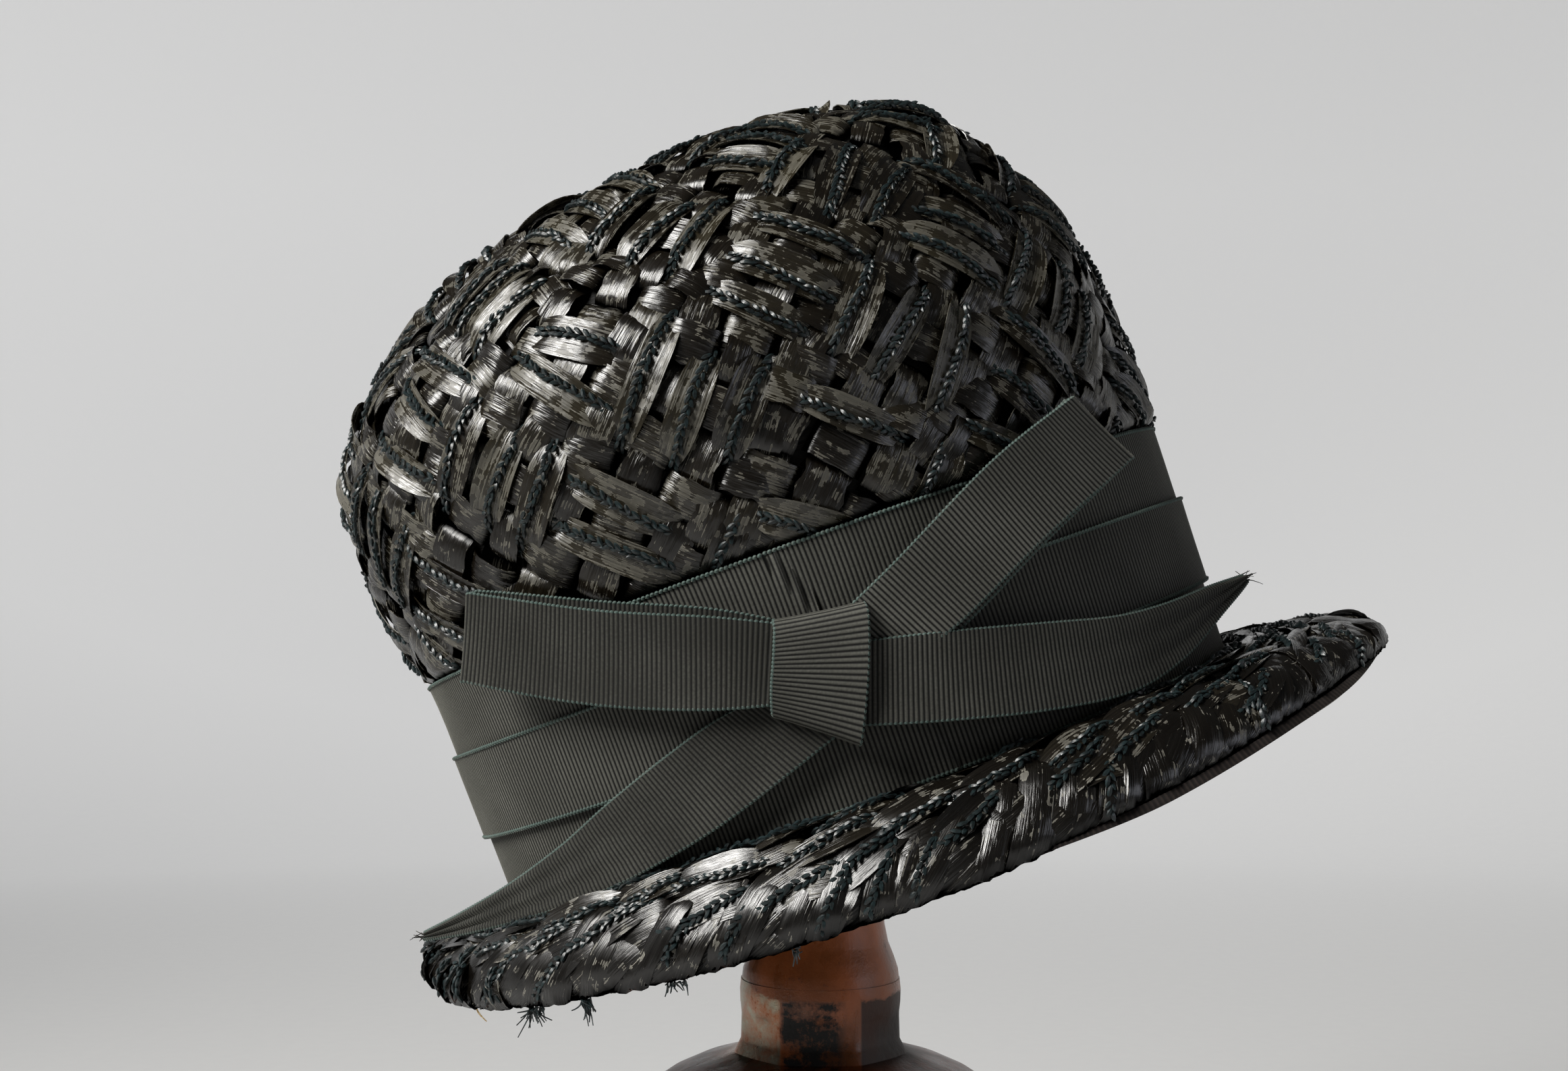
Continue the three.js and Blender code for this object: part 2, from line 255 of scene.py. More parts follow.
@dataclass(frozen=True)
class RayonCord:
    """Chain-stitched rayon cord, dyed a blue-green black, with a faint sparkle on each stitch."""

    name: str = "chain_stitched_rayon_cord"
    deep: str = "#040606"
    lit: str = "#253335"
    yarn_mm: float = 1.05  # real filaments are about 0.02 mm, drawn as plied yarns

    def make(self) -> bpy.types.Material:
        """Build the cord's material."""
        made, node = start_material(self.name)
        grain = body_noise(node, self.yarn_mm, 3.0)
        end_material(
            node,
            {
                "Base Color": node("ValToRGB", (grain,), [(0.3, self.deep), (0.72, self.lit)]),
                "Roughness": node("MapRange", (grain, 0.3, 0.7, 0.44, 0.28)),
                "Normal": node("Bump", {"Height": grain, "Strength": 0.35, "Distance": 0.0003}),
                "Specular IOR Level": 0.55,
            },
        )
        return made


@dataclass(frozen=True)
class Grosgrain:
    """Rayon and cotton grosgrain ribbon, woven with a cord in every rib and matt with age.

    The ribs are modelled; the warp threads that wrap them show as a fine cross grain, and the cloth
    has paled a little unevenly in broad patches. The valleys between the ribs are painted near black as
    shade, and each bow ribbon is painted lighter or darker as a whole, as light and shade.
    """

    name: str = "woven_grosgrain"
    # painted shade down in the valleys between the ribs
    painted_valley_shade: str = "#060605"
    dark: str = "#32322d"
    light: str = "#565650"
    # lightest colour: the palest cloth, and the painted light of a lightened bow ribbon
    faded_and_painted_light: str = "#70706a"
    threads_per_mm: float = 1.6  # real warp is about 6 per mm, too fine to show
    roughness: float = 0.75

    def make(self) -> bpy.types.Material:
        """Build the ribbon's material."""
        made, node = start_material(self.name)
        ribs = node("Attribute", attribute_name="tone").outputs["Fac"]
        # painted light and shade: shifts each bow ribbon's colour lighter or darker as a whole
        ribbon_painted_light = node("Attribute", attribute_name="lie").outputs["Fac"]
        warp = strip_noise(node, 1.2, self.threads_per_mm, 2.0)
        patches = node("Math", (body_noise(node, 22.0, 3.0), 0.6, ribbon_painted_light), operation="MULTIPLY_ADD")
        shade = node("Math", (warp, 0.4, patches), operation="MULTIPLY_ADD")
        shade = node("Math", (shade, 1.0), operation="SUBTRACT")
        colour = node("ValToRGB", (shade,), [(0.14, self.dark), (0.54, self.light), (0.9, self.faded_and_painted_light)])
        # painted shade: low between the ribs the colour sinks to near black
        depth = node("MapRange", (ribs, 0.42, 0.9, 0.0, 1.0))
        height = node("Math", (body_noise(node, 0.8, 2.0), 0.5, warp), operation="MULTIPLY_ADD")
        end_material(
            node,
            {
                "Base Color": node("Mix", {0: depth, 6: linear(self.painted_valley_shade), 7: colour}, data_type="RGBA"),
                "Normal": node("Bump", {"Height": height, "Strength": 0.4, "Distance": 0.0002}),
                "Roughness": self.roughness,
                "Sheen Weight": 0.6,
                "Sheen Roughness": 0.3,
                "Sheen Tint": linear("#b4b3a6"),
                "Specular IOR Level": 0.3,
            },
        )
        return made


@dataclass(frozen=True)
class TurnedWood:
    """Turned beech under a worn coppery lacquer.

    The sleeve's left flats are painted a light bronze-grey as a highlight on the side facing the light,
    its right flats are painted dark as shade, soot has bitten into its front, and the shoulders have
    gone a warm red-brown. Places are in metres, heights above the floor.
    """

    name: str = "lacquered_turned_beech"
    copper: str = "#a65c33"
    brown: str = "#58361c"
    red: str = "#8a4219"
    # also the colour of the painted shade on the sleeve's right flats
    soot: str = "#0f0d0b"
    # painted highlight colour of the sleeve's left flats
    bronze: str = "#a39c88"
    sleeve_rim: float = 0.1298
    shoulder: float = 0.111
    left_flat: float = -0.0105
    right_flat: float = 0.0108

    def make(self) -> bpy.types.Material:
        """Build the stand's material."""
        made, node = start_material(self.name)
        place = node("TexCoord").outputs["Object"]
        drawn = node("Mapping", {"Vector": place, "Scale": (1.0, 1.0, 0.4)})
        grain = node("TexNoise", {"Vector": drawn, "Scale": 110.0, "Detail": 6.0})
        stain = body_noise(node, 1000 / 130, 7.0, 0.75)
        x, _, z = node("SeparateXYZ", {"Vector": place}).outputs
        wander = node("MapRange", (stain, 0.0, 1.0, -0.003, 0.003))
        across = node("Math", (x, wander), operation="ADD")
        slope = node("Math", (node("Math", (x, 0.0137), operation="ADD"), 0.0), operation="MINIMUM")
        edge = node("Math", (slope, 0.46, z), operation="MULTIPLY_ADD")
        edge = node("Math", (edge, wander), operation="ADD")
        under_rim = node("MapRange", (edge, self.sleeve_rim + 0.0004, self.sleeve_rim - 0.0004, 0.0, 1.0))
        over_shoulder = node("MapRange", (z, self.shoulder - 0.001, self.shoulder + 0.002, 0.0, 1.0))
        sleeve = node("Math", (under_rim, over_shoulder), operation="MULTIPLY")
        below = node("MapRange", (z, self.shoulder + 0.003, self.shoulder, 0.0, 1.0))
        broad = node("Math", (body_noise(node, 1000 / 38, 3.0), 0.65), operation="MULTIPLY")
        shade = node("Math", (grain, 0.35, broad), operation="MULTIPLY_ADD")
        coat = node("ValToRGB", (shade,), [(0.38, self.brown), (0.62, self.copper)])
        glow = node("ValToRGB", (stain,), [(0.35, self.brown), (0.55, self.red)])
        warm = node("Mix", {0: below, 6: coat, 7: glow}, data_type="RGBA")
        # painted highlight: the sleeve's left flats, facing the light, are a light bronze-grey and partly metallic
        worn = node("MapRange", (x, self.left_flat, self.left_flat - 0.0008, 0.0, 1.0))
        flat = node("Math", (sleeve, worn), operation="MULTIPLY")
        painted_highlight_colour = node("ValToRGB", (stain,), [(0.4, self.bronze), (0.66, self.copper)])
        rubbed = node("Mix", {0: flat, 6: warm, 7: painted_highlight_colour}, data_type="RGBA")
        smoke = node("MapRange", (stain, 0.4, 0.52, 0.0, 1.0))
        for start, full in ((self.left_flat, self.left_flat + 0.001), (0.0075, 0.0045)):
            side = node("MapRange", (across, start, full, 0.0, 1.0))
            smoke = node("Math", (smoke, side), operation="MULTIPLY")
        # painted shade: the sleeve's right flats, away from the light, are mixed most of the way to the soot colour
        painted_shade_right = node("MapRange", (x, self.right_flat, self.right_flat + 0.0006, 0.0, 0.85))
        soot_and_painted_shade = node("Math", (smoke, painted_shade_right), operation="MAXIMUM")
        soot_and_painted_shade = node("Math", (sleeve, soot_and_painted_shade), operation="MULTIPLY")
        specks = node("MapRange", (stain, 0.6, 0.7, 0.0, 0.7))
        black = node("Math", (soot_and_painted_shade, specks), operation="MAXIMUM")
        height = node("Math", (grain, stain), operation="ADD")
        polish = node("MapRange", (grain, 0.3, 0.7, 0.22, 0.38))
        end_material(
            node,
            {
                "Base Color": node("Mix", {0: black, 6: rubbed, 7: linear(self.soot)}, data_type="RGBA"),
                "Roughness": node("Math", (black, 0.3, polish), operation="MULTIPLY_ADD"),
                "Normal": node("Bump", {"Height": height, "Strength": 0.35, "Distance": 0.001}),
                "Metallic": node("Math", (flat, 0.7), operation="MULTIPLY"),
            },
        )
        return made


@dataclass(frozen=True)
class MattPaper:
    """Matt pale paper of the studio sweep, with no grain that the eye can find; it glows as painted room light."""

    name: str = "matt_sweep_paper"
    colour: str = "#c0c0c0"
    glow_near: float = 0.02  # stands for the room's light on the paper in front of the hat
    glow_far: float = 0.92  # and on the paper behind it

    def make(self) -> bpy.types.Material:
        """Build the sweep's material."""
        made, node = start_material(self.name)
        grain = body_noise(node, 9.0, 1.0)
        x, y, _ = node("SeparateXYZ", {"Vector": node("TexCoord").outputs["Object"]}).outputs
        far = node("MapRange", (y, -0.4, 1.9, self.glow_near, self.glow_far))
        # painted light: the paper glows a little more on the left, towards the window
        left = node("MapRange", (x, -1.2, 1.2, 1.06, 0.92))
        end_material(
            node,
            {
                "Base Color": node("ValToRGB", (grain,), [(0.0, self.colour), (1.0, "#c4c4c3")]),
                "Emission Color": linear(self.colour),
                "Emission Strength": node("Math", (far, left), operation="MULTIPLY"),
                "Roughness": 0.9,
            },
        )
        return made


STRAW = LacqueredStraw()
STRAW_BODY = LacqueredStraw(
    name="shadowed_straw_ground",
    deep="#020202",
    skin="#050403",
    brown="#0a0806",
    silver="#0e0c09",
    gloss=0.6,
    rubbed=0.7,
    shine=0.15,
)
BRIM_STRAW = LacqueredStraw(
    name="lacquered_brim_straw",
    deep="#070605",
    skin="#100d09",
    brown="#2f2b22",
    silver="#827f75",
    island_start=0.59,
    dent=0.7,
)
FLECK = LacqueredStraw(
    name="bare_straw_fleck", deep="#b98f4e", skin="#d9b577", brown="#e8cf9a", silver="#f0dcb0"
)
CORD = RayonCord()
RIBBON = Grosgrain()
SELVAGE = Grosgrain(name="grosgrain_selvage_yarn", dark="#2b3835", light="#4a5a55", roughness=0.6)
BINDING = Grosgrain(name="binding_grosgrain", painted_valley_shade="#050404", dark="#1a1513", light="#2c2522", faded_and_painted_light="#342b28")
WOOD = TurnedWood()
PAPER = MattPaper()

Finish = LacqueredStraw | RayonCord | Grosgrain | TurnedWood | MattPaper
MADE_FINISHES: dict[str, bpy.types.Material] = {}


def material_of(finish: Finish) -> bpy.types.Material:
    """Return a finish's material, built once."""
    if finish.name not in MADE_FINISHES:
        MADE_FINISHES[finish.name] = finish.make()
    return MADE_FINISHES[finish.name]


def to_row(points: Array) -> Array:
    """Turn points from the hat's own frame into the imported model's frame, both in millimetres."""
    x, y, z = points[..., 0], points[..., 1], points[..., 2]
    cos, sin = math.cos(HAT_LEAN), math.sin(HAT_LEAN)
    return np.stack([x * cos - z * sin, y, x * sin + z * cos], -1) + HAT_MIDDLE


def smooth_step(value: Array, low: float, high: float) -> Array:
    """Rise smoothly from 0 at low to 1 at high."""
    share = np.clip((value - low) / (high - low), 0.0, 1.0)
    return share * share * (3 - 2 * share)


def unit(vectors: Array) -> Array:
    """Scale vectors to length 1."""
    return vectors / np.maximum(np.linalg.norm(vectors, axis=-1, keepdims=True), 1e-9)


def runs_along(points: Array) -> Array:
    """Return the distance run at each point of a path, from 0."""
    return np.concatenate([[0.0], np.cumsum(np.linalg.norm(np.diff(points, axis=0), axis=1))])


def tube_quads(rings: int, around: int) -> Array:
    """Return the quads of a tube whose points are numbered ring by ring."""
    index = np.arange(rings * around).reshape(rings, around)
    beside = np.roll(index, -1, 1)
    return np.stack([index[:-1], beside[:-1], beside[1:], index[1:]], -1).reshape(-1, 4)


def add_object(name: str, data: bpy.types.ID) -> bpy.types.Object:
    """Add an object to the scene."""
    made = bpy.data.objects.new(name, data)
    bpy.context.scene.collection.objects.link(made)
    return made


def aim_object(made: bpy.types.Object, at: tuple[float, float, float], target: tuple[float, float, float]) -> None:
    """Set a camera or light down in metres and turn it to face a point."""
    made.location = at
    made.rotation_euler = (Vector(target) - Vector(at)).to_track_quat("-Z", "Y").to_euler()


@dataclass
class MeshPile:
    """Closed shells gathered into one mesh."""

    points: list[Array] = field(default_factory=list)
    faces: dict[int, list[Array]] = field(default_factory=lambda: {3: [], 4: []})
    uvs: list[Array] = field(default_factory=list)
    tones: list[Array] = field(default_factory=list)
    # painted shading of each point: straw low in the weave is darkened as shade, and a ribbon is lightened or
    # darkened as a whole
    lies: list[Array] = field(default_factory=list)
    size: int = 0

    def add(
        self,
        points: Array,
        faces: Sequence[Array],
        uv: Array | None = None,
        tone: float | Array = 0.5,
        lie: float | Array = 1.0,
    ) -> None:
        """Add one shell.

        Args:
            points: Its points, in rows of three.
            faces: Arrays of quads or triangles of point numbers.
            uv: Place of each point on its strip, in millimetres.
            tone: Shade of the shell, from 0 to 1.
            lie: How far each point lies out of the weave's hollows, from 0 to 1, painted darker as shade where low;
                on a ribbon, 1 plus its painted lightening or darkening.
        """
        count = len(points)
        self.points.append(points)
        self.uvs.append(points[:, :2] if uv is None else uv)
        self.tones.append(np.broadcast_to(np.asarray(tone, float), (count,)))
        self.lies.append(np.broadcast_to(np.asarray(lie, float), (count,)))
        for group in faces:
            self.faces[group.shape[1]].append(group + self.size)
        self.size += count

    def add_sheet(self, front: Array, back: Array, uv: Array, tone: float | Array, lie: float | Array) -> None:
        """Add a closed sheet from its front and back grids.

        Args:
            front: Grid of front points, its two directions turning about the way it faces.
            back: Matching grid behind it.
            uv: Grid of places on the sheet, in millimetres.
            tone: Shade of the sheet.
            lie: How far each point lies out of the weave's hollows, painted darker as shade where low; on a ribbon, 1
                plus its painted lightening or darkening.
        """
        rows, columns = front.shape[:2]
        near = np.arange(rows * columns).reshape(rows, columns)
        far = near + rows * columns
        quads = [
            np.stack([near[:-1, :-1], near[1:, :-1], near[1:, 1:], near[:-1, 1:]], -1),
            np.stack([far[:-1, :-1], far[:-1, 1:], far[1:, 1:], far[1:, :-1]], -1),
            np.stack([near[1:, 0], near[:-1, 0], far[:-1, 0], far[1:, 0]], -1),
            np.stack([near[:-1, -1], near[1:, -1], far[1:, -1], far[:-1, -1]], -1),
            np.stack([near[0, :-1], near[0, 1:], far[0, 1:], far[0, :-1]], -1),
            np.stack([near[-1, 1:], near[-1, :-1], far[-1, :-1], far[-1, 1:]], -1),
        ]
        points = np.concatenate([front.reshape(-1, 3), back.reshape(-1, 3)])
        flat = uv.reshape(-1, 2)
        shades, lies = (np.tile(np.ravel(value), 2) if np.ndim(value) else value for value in (tone, lie))
        self.add(points, [quad.reshape(-1, 4) for quad in quads], np.concatenate([flat, flat]), shades, lies)

    def add_ring(self, loops: Array, uv: Array, tone: float | Array = 0.5) -> None:
        """Add a closed ring from section loops that go all the way round.

        Args:
            loops: Points of each section, as rings by loop points by three.
            uv: Place of each point, in millimetres.
            tone: Shade of the ring.
        """
        rings, size = loops.shape[:2]
        index = np.arange(rings * size).reshape(rings, size)
        ahead, beside = np.roll(index, -1, 0), np.roll(index, -1, 1)
        both = np.roll(ahead, -1, 1)
        quads = np.stack([index, ahead, both, beside], -1).reshape(-1, 4)
        self.add(loops.reshape(-1, 3), [quads], uv.reshape(-1, 2), np.ravel(tone) if np.ndim(tone) else tone)

    def build(
        self,
        name: str,
        finish: Finish,
        slot: str,
        replaces: Sequence[str] = (),
        space: Space = Space.HAT,
        sharp: float = 55.0,
    ) -> bpy.types.Object:
        """Turn the pile into one piece of the model.

        Args:
            name: Name of the piece.
            finish: Its finish.
            slot: The record's slot for its finish. Not used.
            replaces: CAD nodes that it stands for.
            space: Frame in which the points are given.
            sharp: Angle in degrees above which an edge is sharp.

        Returns:
            The piece, riding on the body.
        """
        points = np.concatenate(self.points)
        points = (to_row(points) if space is Space.HAT else points) * MILLIMETRE
        groups = {size: np.concatenate(found) for size, found in self.faces.items() if found}
        corners = np.concatenate([group.ravel() for group in groups.values()]).astype(np.int32)
        totals = np.concatenate([np.full(len(group), size) for size, group in groups.items()])
        mesh = bpy.data.meshes.new(name)
        mesh.vertices.add(len(points))
        mesh.vertices.foreach_set("co", points.astype(np.float32).ravel())
        mesh.loops.add(len(corners))
        mesh.polygons.add(len(totals))
        mesh.polygons.foreach_set("loop_start", np.concatenate([[0], np.cumsum(totals)[:-1]]).astype(np.int32))
        mesh.polygons.foreach_set("vertices", corners)
        mesh.update(calc_edges=True)
        uv_layer = mesh.uv_layers.new(name="strip")
        uv_layer.uv.foreach_set("vector", np.concatenate(self.uvs)[corners].astype(np.float32).ravel())
        for label, values in (("tone", self.tones), ("lie", self.lies)):
            layer = mesh.attributes.new(label, "FLOAT", "POINT")
            layer.data.foreach_set("value", np.concatenate(values).astype(np.float32))
        mesh.shade_smooth()
        mesh.set_sharp_from_angle(angle=math.radians(sharp))
        mesh.materials.append(material_of(finish))
        made = add_object(name, mesh)
        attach(made, "root")
        if replaces:
            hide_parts(*replaces)
        LOG.info("%s: %d triangles", name, int((totals - 2).sum()))
        return made


def weld(made: bpy.types.Object) -> None:
    """Join a piece's points that lie in one place, so that no face is left without area."""
    work = bmesh.new()
    work.from_mesh(made.data)
    bmesh.ops.remove_doubles(work, verts=work.verts, dist=2e-6)
    work.to_mesh(made.data)
    work.free()


class SmoothTable:
    """Columns of a table as smooth functions of one running number, with the CAD's own cubic."""

    def __init__(self, places: Sequence[float], values: Sequence[Sequence[float]], flat_ends: bool = False) -> None:
        """Keep the table.

        Args:
            places: Running number of each row.
            values: Rows of the table.
            flat_ends: Whether the curve runs level at both ends.
        """
        self.places = np.asarray(places, float)
        self.values = np.asarray(values, float)
        self.flat_ends = flat_ends

    def at(self, place: Array) -> Array:
        """Return the smoothed rows at these places, with the columns last."""
        place = np.clip(np.asarray(place, float), self.places[0], self.places[-1])
        last = len(self.places) - 1
        upper = np.clip(np.searchsorted(self.places, place, side="right"), 1, last)
        lower = upper - 1
        low, high = self.places[lower], self.places[upper]
        span = high - low
        before, after = lower - 1, upper + 1
        start, end = before < 0, after > last
        low_prev = np.where(start, 2 * low - high if self.flat_ends else high, self.places[np.maximum(before, 0)])
        high_next = np.where(end, 2 * high - low if self.flat_ends else low, self.places[np.minimum(after, last)])
        before = np.where(start, upper, before)
        after = np.where(end, upper if self.flat_ends else lower, after)
        weight_prev = (0.5 * span / (low - low_prev))[..., None]
        weight_next = (0.5 * span / (high_next - high))[..., None]
        p = ((place - low) / span)[..., None]
        pp, ppp = p * p, p * p * p
        value_prev = -weight_prev * ppp + 2 * weight_prev * pp - weight_prev * p
        value_low = (1 + weight_prev) * ppp + (-1.5 - 2 * weight_prev) * pp + (-0.5 + weight_prev) * p + 1
        value_high = (-1 - weight_next) * ppp + (1.5 + weight_next) * pp + 0.5 * p
        value_next = weight_next * ppp - weight_next * pp
        near = value_low * self.values[lower] + value_high * self.values[upper]
        return value_prev * self.values[before] + near + value_next * self.values[after]


def direction(turn: Array) -> Array:
    """Unit directions of turns in degrees, measured from the middle of the bow side."""
    angle = np.radians(turn)
    return np.stack([np.sin(angle), -np.cos(angle), np.zeros_like(angle)], -1)


@dataclass
class CrownForm:
    """The crown's outer face, through level sections from its foot to its tip."""

    # height, centre, length, breadth
    sections: tuple = (
        (CROWN_FOOT, 0, 104, 86.5),
        (-32, 0, 105.4, 88.6),
        (0, -0.3, 107, 91),
        (20, -2.3, 109, 94.2),
        (40, -3.6, 109.7, 95.2),
        (60, -3.8, 107, 92.4),
        (76, -2.2, 98.8, 85.2),
        (90, 2.2, 87.6, 73.8),
        (100, 6.6, 77, 62.5),
        (107.6, 11.4, 61.4, 48.5),
        (112.1, 16, 43, 33),
        (114.3, 19, 23, 17),
        (114.9, 20, 0, 0),
    )

    def __post_init__(self) -> None:
        """Work out the outline's running places and a fine mesh of the face to press things on."""
        rows = np.array(self.sections, float)
        steps = np.hypot(np.diff(rows[:, 0]), np.diff(rows[:, 2]))
        self.places = np.concatenate([[0.0], np.cumsum(steps)])
        self.tip = self.places[-1]
        self.table = SmoothTable(self.places, rows)
        place, turn = np.meshgrid(np.linspace(0, self.tip, 150), np.arange(0, 360, 1.5), indexing="ij")
        grid = self.face(place, turn)
        points = [Vector(point) for point in grid.reshape(-1, 3)]
        self.tree = BVHTree.FromPolygons(points, tube_quads(*place.shape).tolist())

    def place_of(self, height: float) -> float:
        """Return the place on the outline of a height below the widest level."""
        return float(np.interp(height, [row[0] for row in self.sections], self.places))

    def face(self, place: Array, turn: Array) -> Array:
        """Return points of the outer face."""
        height, centre, length, breadth = np.moveaxis(self.table.at(place), -1, 0)
        way = direction(turn)
        return np.stack([centre + length * way[..., 0], breadth * way[..., 1], height], -1)

    def normal(self, place: Array, turn: Array) -> Array:
        """Return the outward directions of the face."""
        place, turn = np.broadcast_arrays(np.asarray(place, float), np.asarray(turn, float))
        up = self.face(np.minimum(place + 0.5, self.tip), turn) - self.face(np.maximum(place - 0.5, 0), turn)
        along = self.face(place, turn + 0.5) - self.face(place, turn - 0.5)
        found = unit(np.cross(along, up))
        return np.where((place > self.tip - 1.5)[..., None], np.array([0.0, 0.0, 1.0]), found)

    def point(self, place: Array, turn: Array, offset: Array | float) -> Array:
        """Return points off the outer face along its normal."""
        return self.face(place, turn) + self.normal(place, turn) * np.asarray(offset, float)[..., None]

    def turns_of_arcs(self, place: float) -> tuple[Array, Array]:
        """Return matching turns and arc lengths of the level section at a place."""
        turns = np.linspace(-180, 180, 721)
        points = self.face(np.full_like(turns, place), turns)
        arcs = runs_along(points)
        return turns, arcs - np.interp(0.0, turns, arcs)

    def cell(self, place: float, turn: float) -> Press:
        """Return a way of pressing flat drawings on the face around one point.

        Args:
            place: Place of the point on the outline.
            turn: Turn of the point.

        Returns:
            A function of distances to the right and up, which gives points, normals and how much room
            the straw has to stand proud: 1 in the open and 0 under the band.
        """
        centre = self.face(np.array(place), np.array(turn))
        normal = self.normal(np.array(place), np.array(turn))
        along = np.cross([0.0, 0.0, 1.0], normal)
        along = unit(along) if np.linalg.norm(along) > 0.08 else np.array([1.0, 0.0, 0.0])
        up = np.cross(normal, along)

        def press(right: Array, rise: Array) -> tuple[Array, Array, Array]:
            """Press distances to the right and up onto the face."""
            shape = np.shape(right)
            starts = centre + np.ravel(right)[:, None] * along + np.ravel(rise)[:, None] * up + normal * 30
            points, normals = np.empty_like(starts), np.empty_like(starts)
            back = Vector(-normal)
            for i, start in enumerate(starts):
                hit, facing, _, _ = self.tree.ray_cast(Vector(start), back)
                if hit is None:
                    hit, facing, _, _ = self.tree.find_nearest(Vector(start - normal * 30))
                points[i], normals[i] = hit, facing
            normals *= np.sign(normals @ normal)[:, None]
            room = smooth_step(points[:, 2], -1.5, 3.5)
            return points.reshape(*shape, 3), normals.reshape(*shape, 3), room.reshape(shape)

        return press


def bound_front(turn: Array) -> Array:
    """Return how far the binding, not the straw, makes the brim's edge: from 0 to 1, at turns from -180 to 180."""
    return smooth_step(turn, 4, 26) * (1 - smooth_step(turn, 50, 72))


@dataclass
class BrimForm:
    """The brim's skin: out from the crown's foot, round the rolled edge and back underneath."""

    crown: CrownForm
    front: float = 147.0
    back: float = 133.0
    side: float = 107.5
    roll: float = 0.86
    # turn from the front end, and how far the edge hangs there
    drops: tuple = ((0, 8.5), (40, 13), (68, 19.6), (90, 22), (125, 19.6), (150, 15.5), (180, 5.5))
    under_share: float = 0.3

    def __post_init__(self) -> None:
        """Sample the skin on a grid of turns and distances from the edge."""
        self.drop = SmoothTable([row[0] for row in self.drops], [[row[1]] for row in self.drops], True)
        self.turns = np.arange(-180, 181, 1.5)
        half = STRAW_THICKNESS / 2
        top = [self.line(self.turns, share, half) for share in np.linspace(0.0, 1, 24)]
        end, before = self.line(self.turns, 1.0, 0), self.line(self.turns, 0.96, 0)
        out = unit(end - before)
        rise = unit(top[-1] - end)
        rounds = [end + half * (out * math.sin(a) + rise * math.cos(a)) for a in np.radians([30, 60, 90, 120, 150])]
        under = [self.line(self.turns, share, -half) for share in np.linspace(1, self.under_share, 14)]
        grid = np.stack(top + rounds + under, 1)
        steps = np.linalg.norm(np.diff(grid, axis=1), axis=2)
        runs = np.concatenate([np.zeros((len(grid), 1)), np.cumsum(steps, 1)], 1)
        self.apex = runs[:, len(top) + 2]
        self.reach = np.linspace(-46.0, 30.0, 153)  # distance past the edge's apex, in half millimetres
        sampled = [
            [np.interp(self.reach + apex, run, column) for column in section.T]
            for apex, run, section in zip(self.apex, runs, grid)
        ]
        self.skin = np.moveaxis(np.array(sampled), 1, 2)
        across = np.gradient(self.skin, axis=1)
        across[np.linalg.norm(across, axis=2) < 1e-6] = [0, 0, 1]
        along = np.gradient(self.skin, axis=0)
        self.normals = unit(np.cross(across, along))

    def line(self, turn: Array, share: float, offset: float) -> Array:
        """Return points of the brim's section: a gentle run outward that rolls down at the edge."""
        turn = np.asarray(turn, float)
        way = direction(turn)
        root = self.crown.face(np.zeros_like(turn), turn)
        root[..., 2] = CROWN_FOOT - GAP - STRAW_THICKNESS / 2
        from_front = np.abs((turn - 90 + 180) % 360 - 180)
        reach = np.where(way[..., 0] > 0, self.front, self.back)
        hang = self.drop.at(from_front)[..., 0]
        edge = np.stack([reach * way[..., 0], self.side * way[..., 1], root[..., 2] - hang], -1)
        shoulder = root + (edge - root) * self.roll
        shoulder[..., 2] = root[..., 2]
        point = (1 - share) ** 2 * root + 2 * share * (1 - share) * shoulder + share**2 * edge
        tangent = unit(2 * (1 - share) * (shoulder - root) + 2 * share * (edge - shoulder))
        outward = (edge - root) * [1, 1, 0]
        outward = unit(outward)
        lift = -outward * tangent[..., 2:3] + np.array([0, 0, 1.0]) * np.sum(tangent * outward, -1, keepdims=True)
        return point + unit(lift) * offset

    def at(self, turn: Array, past: Array) -> tuple[Array, Array]:
        """Return points and normals of the skin at turns and distances past the edge's apex."""
        turn = (np.asarray(turn, float) + 180) % 360 - 180
        i = (turn - self.turns[0]) / 1.5
        j = np.clip((np.asarray(past, float) - self.reach[0]) / 0.5, 0, len(self.reach) - 1.001)
        i0 = np.clip(i.astype(int), 0, len(self.turns) - 2)
        j0 = j.astype(int)
        u, v = (i - i0)[..., None], (j - j0)[..., None]

        def blend(grid: Array) -> Array:
            """Mix the four samples around each place."""
            near = grid[i0, j0] * (1 - v) + grid[i0, j0 + 1] * v
            far = grid[i0 + 1, j0] * (1 - v) + grid[i0 + 1, j0 + 1] * v
            return near * (1 - u) + far * u

        return blend(self.skin), unit(blend(self.normals))

    def width(self, turn: float) -> float:
        """Return the length of the top skin at a turn, from the crown's foot to the edge's apex."""
        return float(np.interp((turn + 180) % 360 - 180, self.turns, self.apex))

    def cell(self, turn: float, past: float) -> Press:
        """Return a way of pressing flat drawings on the brim around one point.

        Args:
            turn: Turn of the point.
            past: Its distance past the edge's apex, below zero on top.

        Returns:
            A function like the crown's: up is towards the crown. Straw that would lie in under the
            band has no room.
        """
        ends, _ = self.at(np.array([turn - 1, turn + 1]), np.array([past, past]))
        per_degree = float(np.linalg.norm(ends[1] - ends[0])) / 2

        def press(right: Array, rise: Array) -> tuple[Array, Array, Array]:
            """Press distances to the right and towards the crown onto the brim."""
            turns = turn + np.asarray(right, float) / per_degree
            reach = past - np.asarray(rise, float)
            points, normals = self.at(turns, reach)
            from_root = np.interp((turns + 180) % 360 - 180, self.turns, self.apex) + reach
            room = smooth_step(from_root, 1.6, 5.5) * (1 - 0.6 * smooth_step(reach, -6.0, -0.5))
            bare = bound_front((turns + 180) % 360 - 180)
            return points, normals, room * (1 - bare * smooth_step(reach, -3.4, -1.4))

        return press


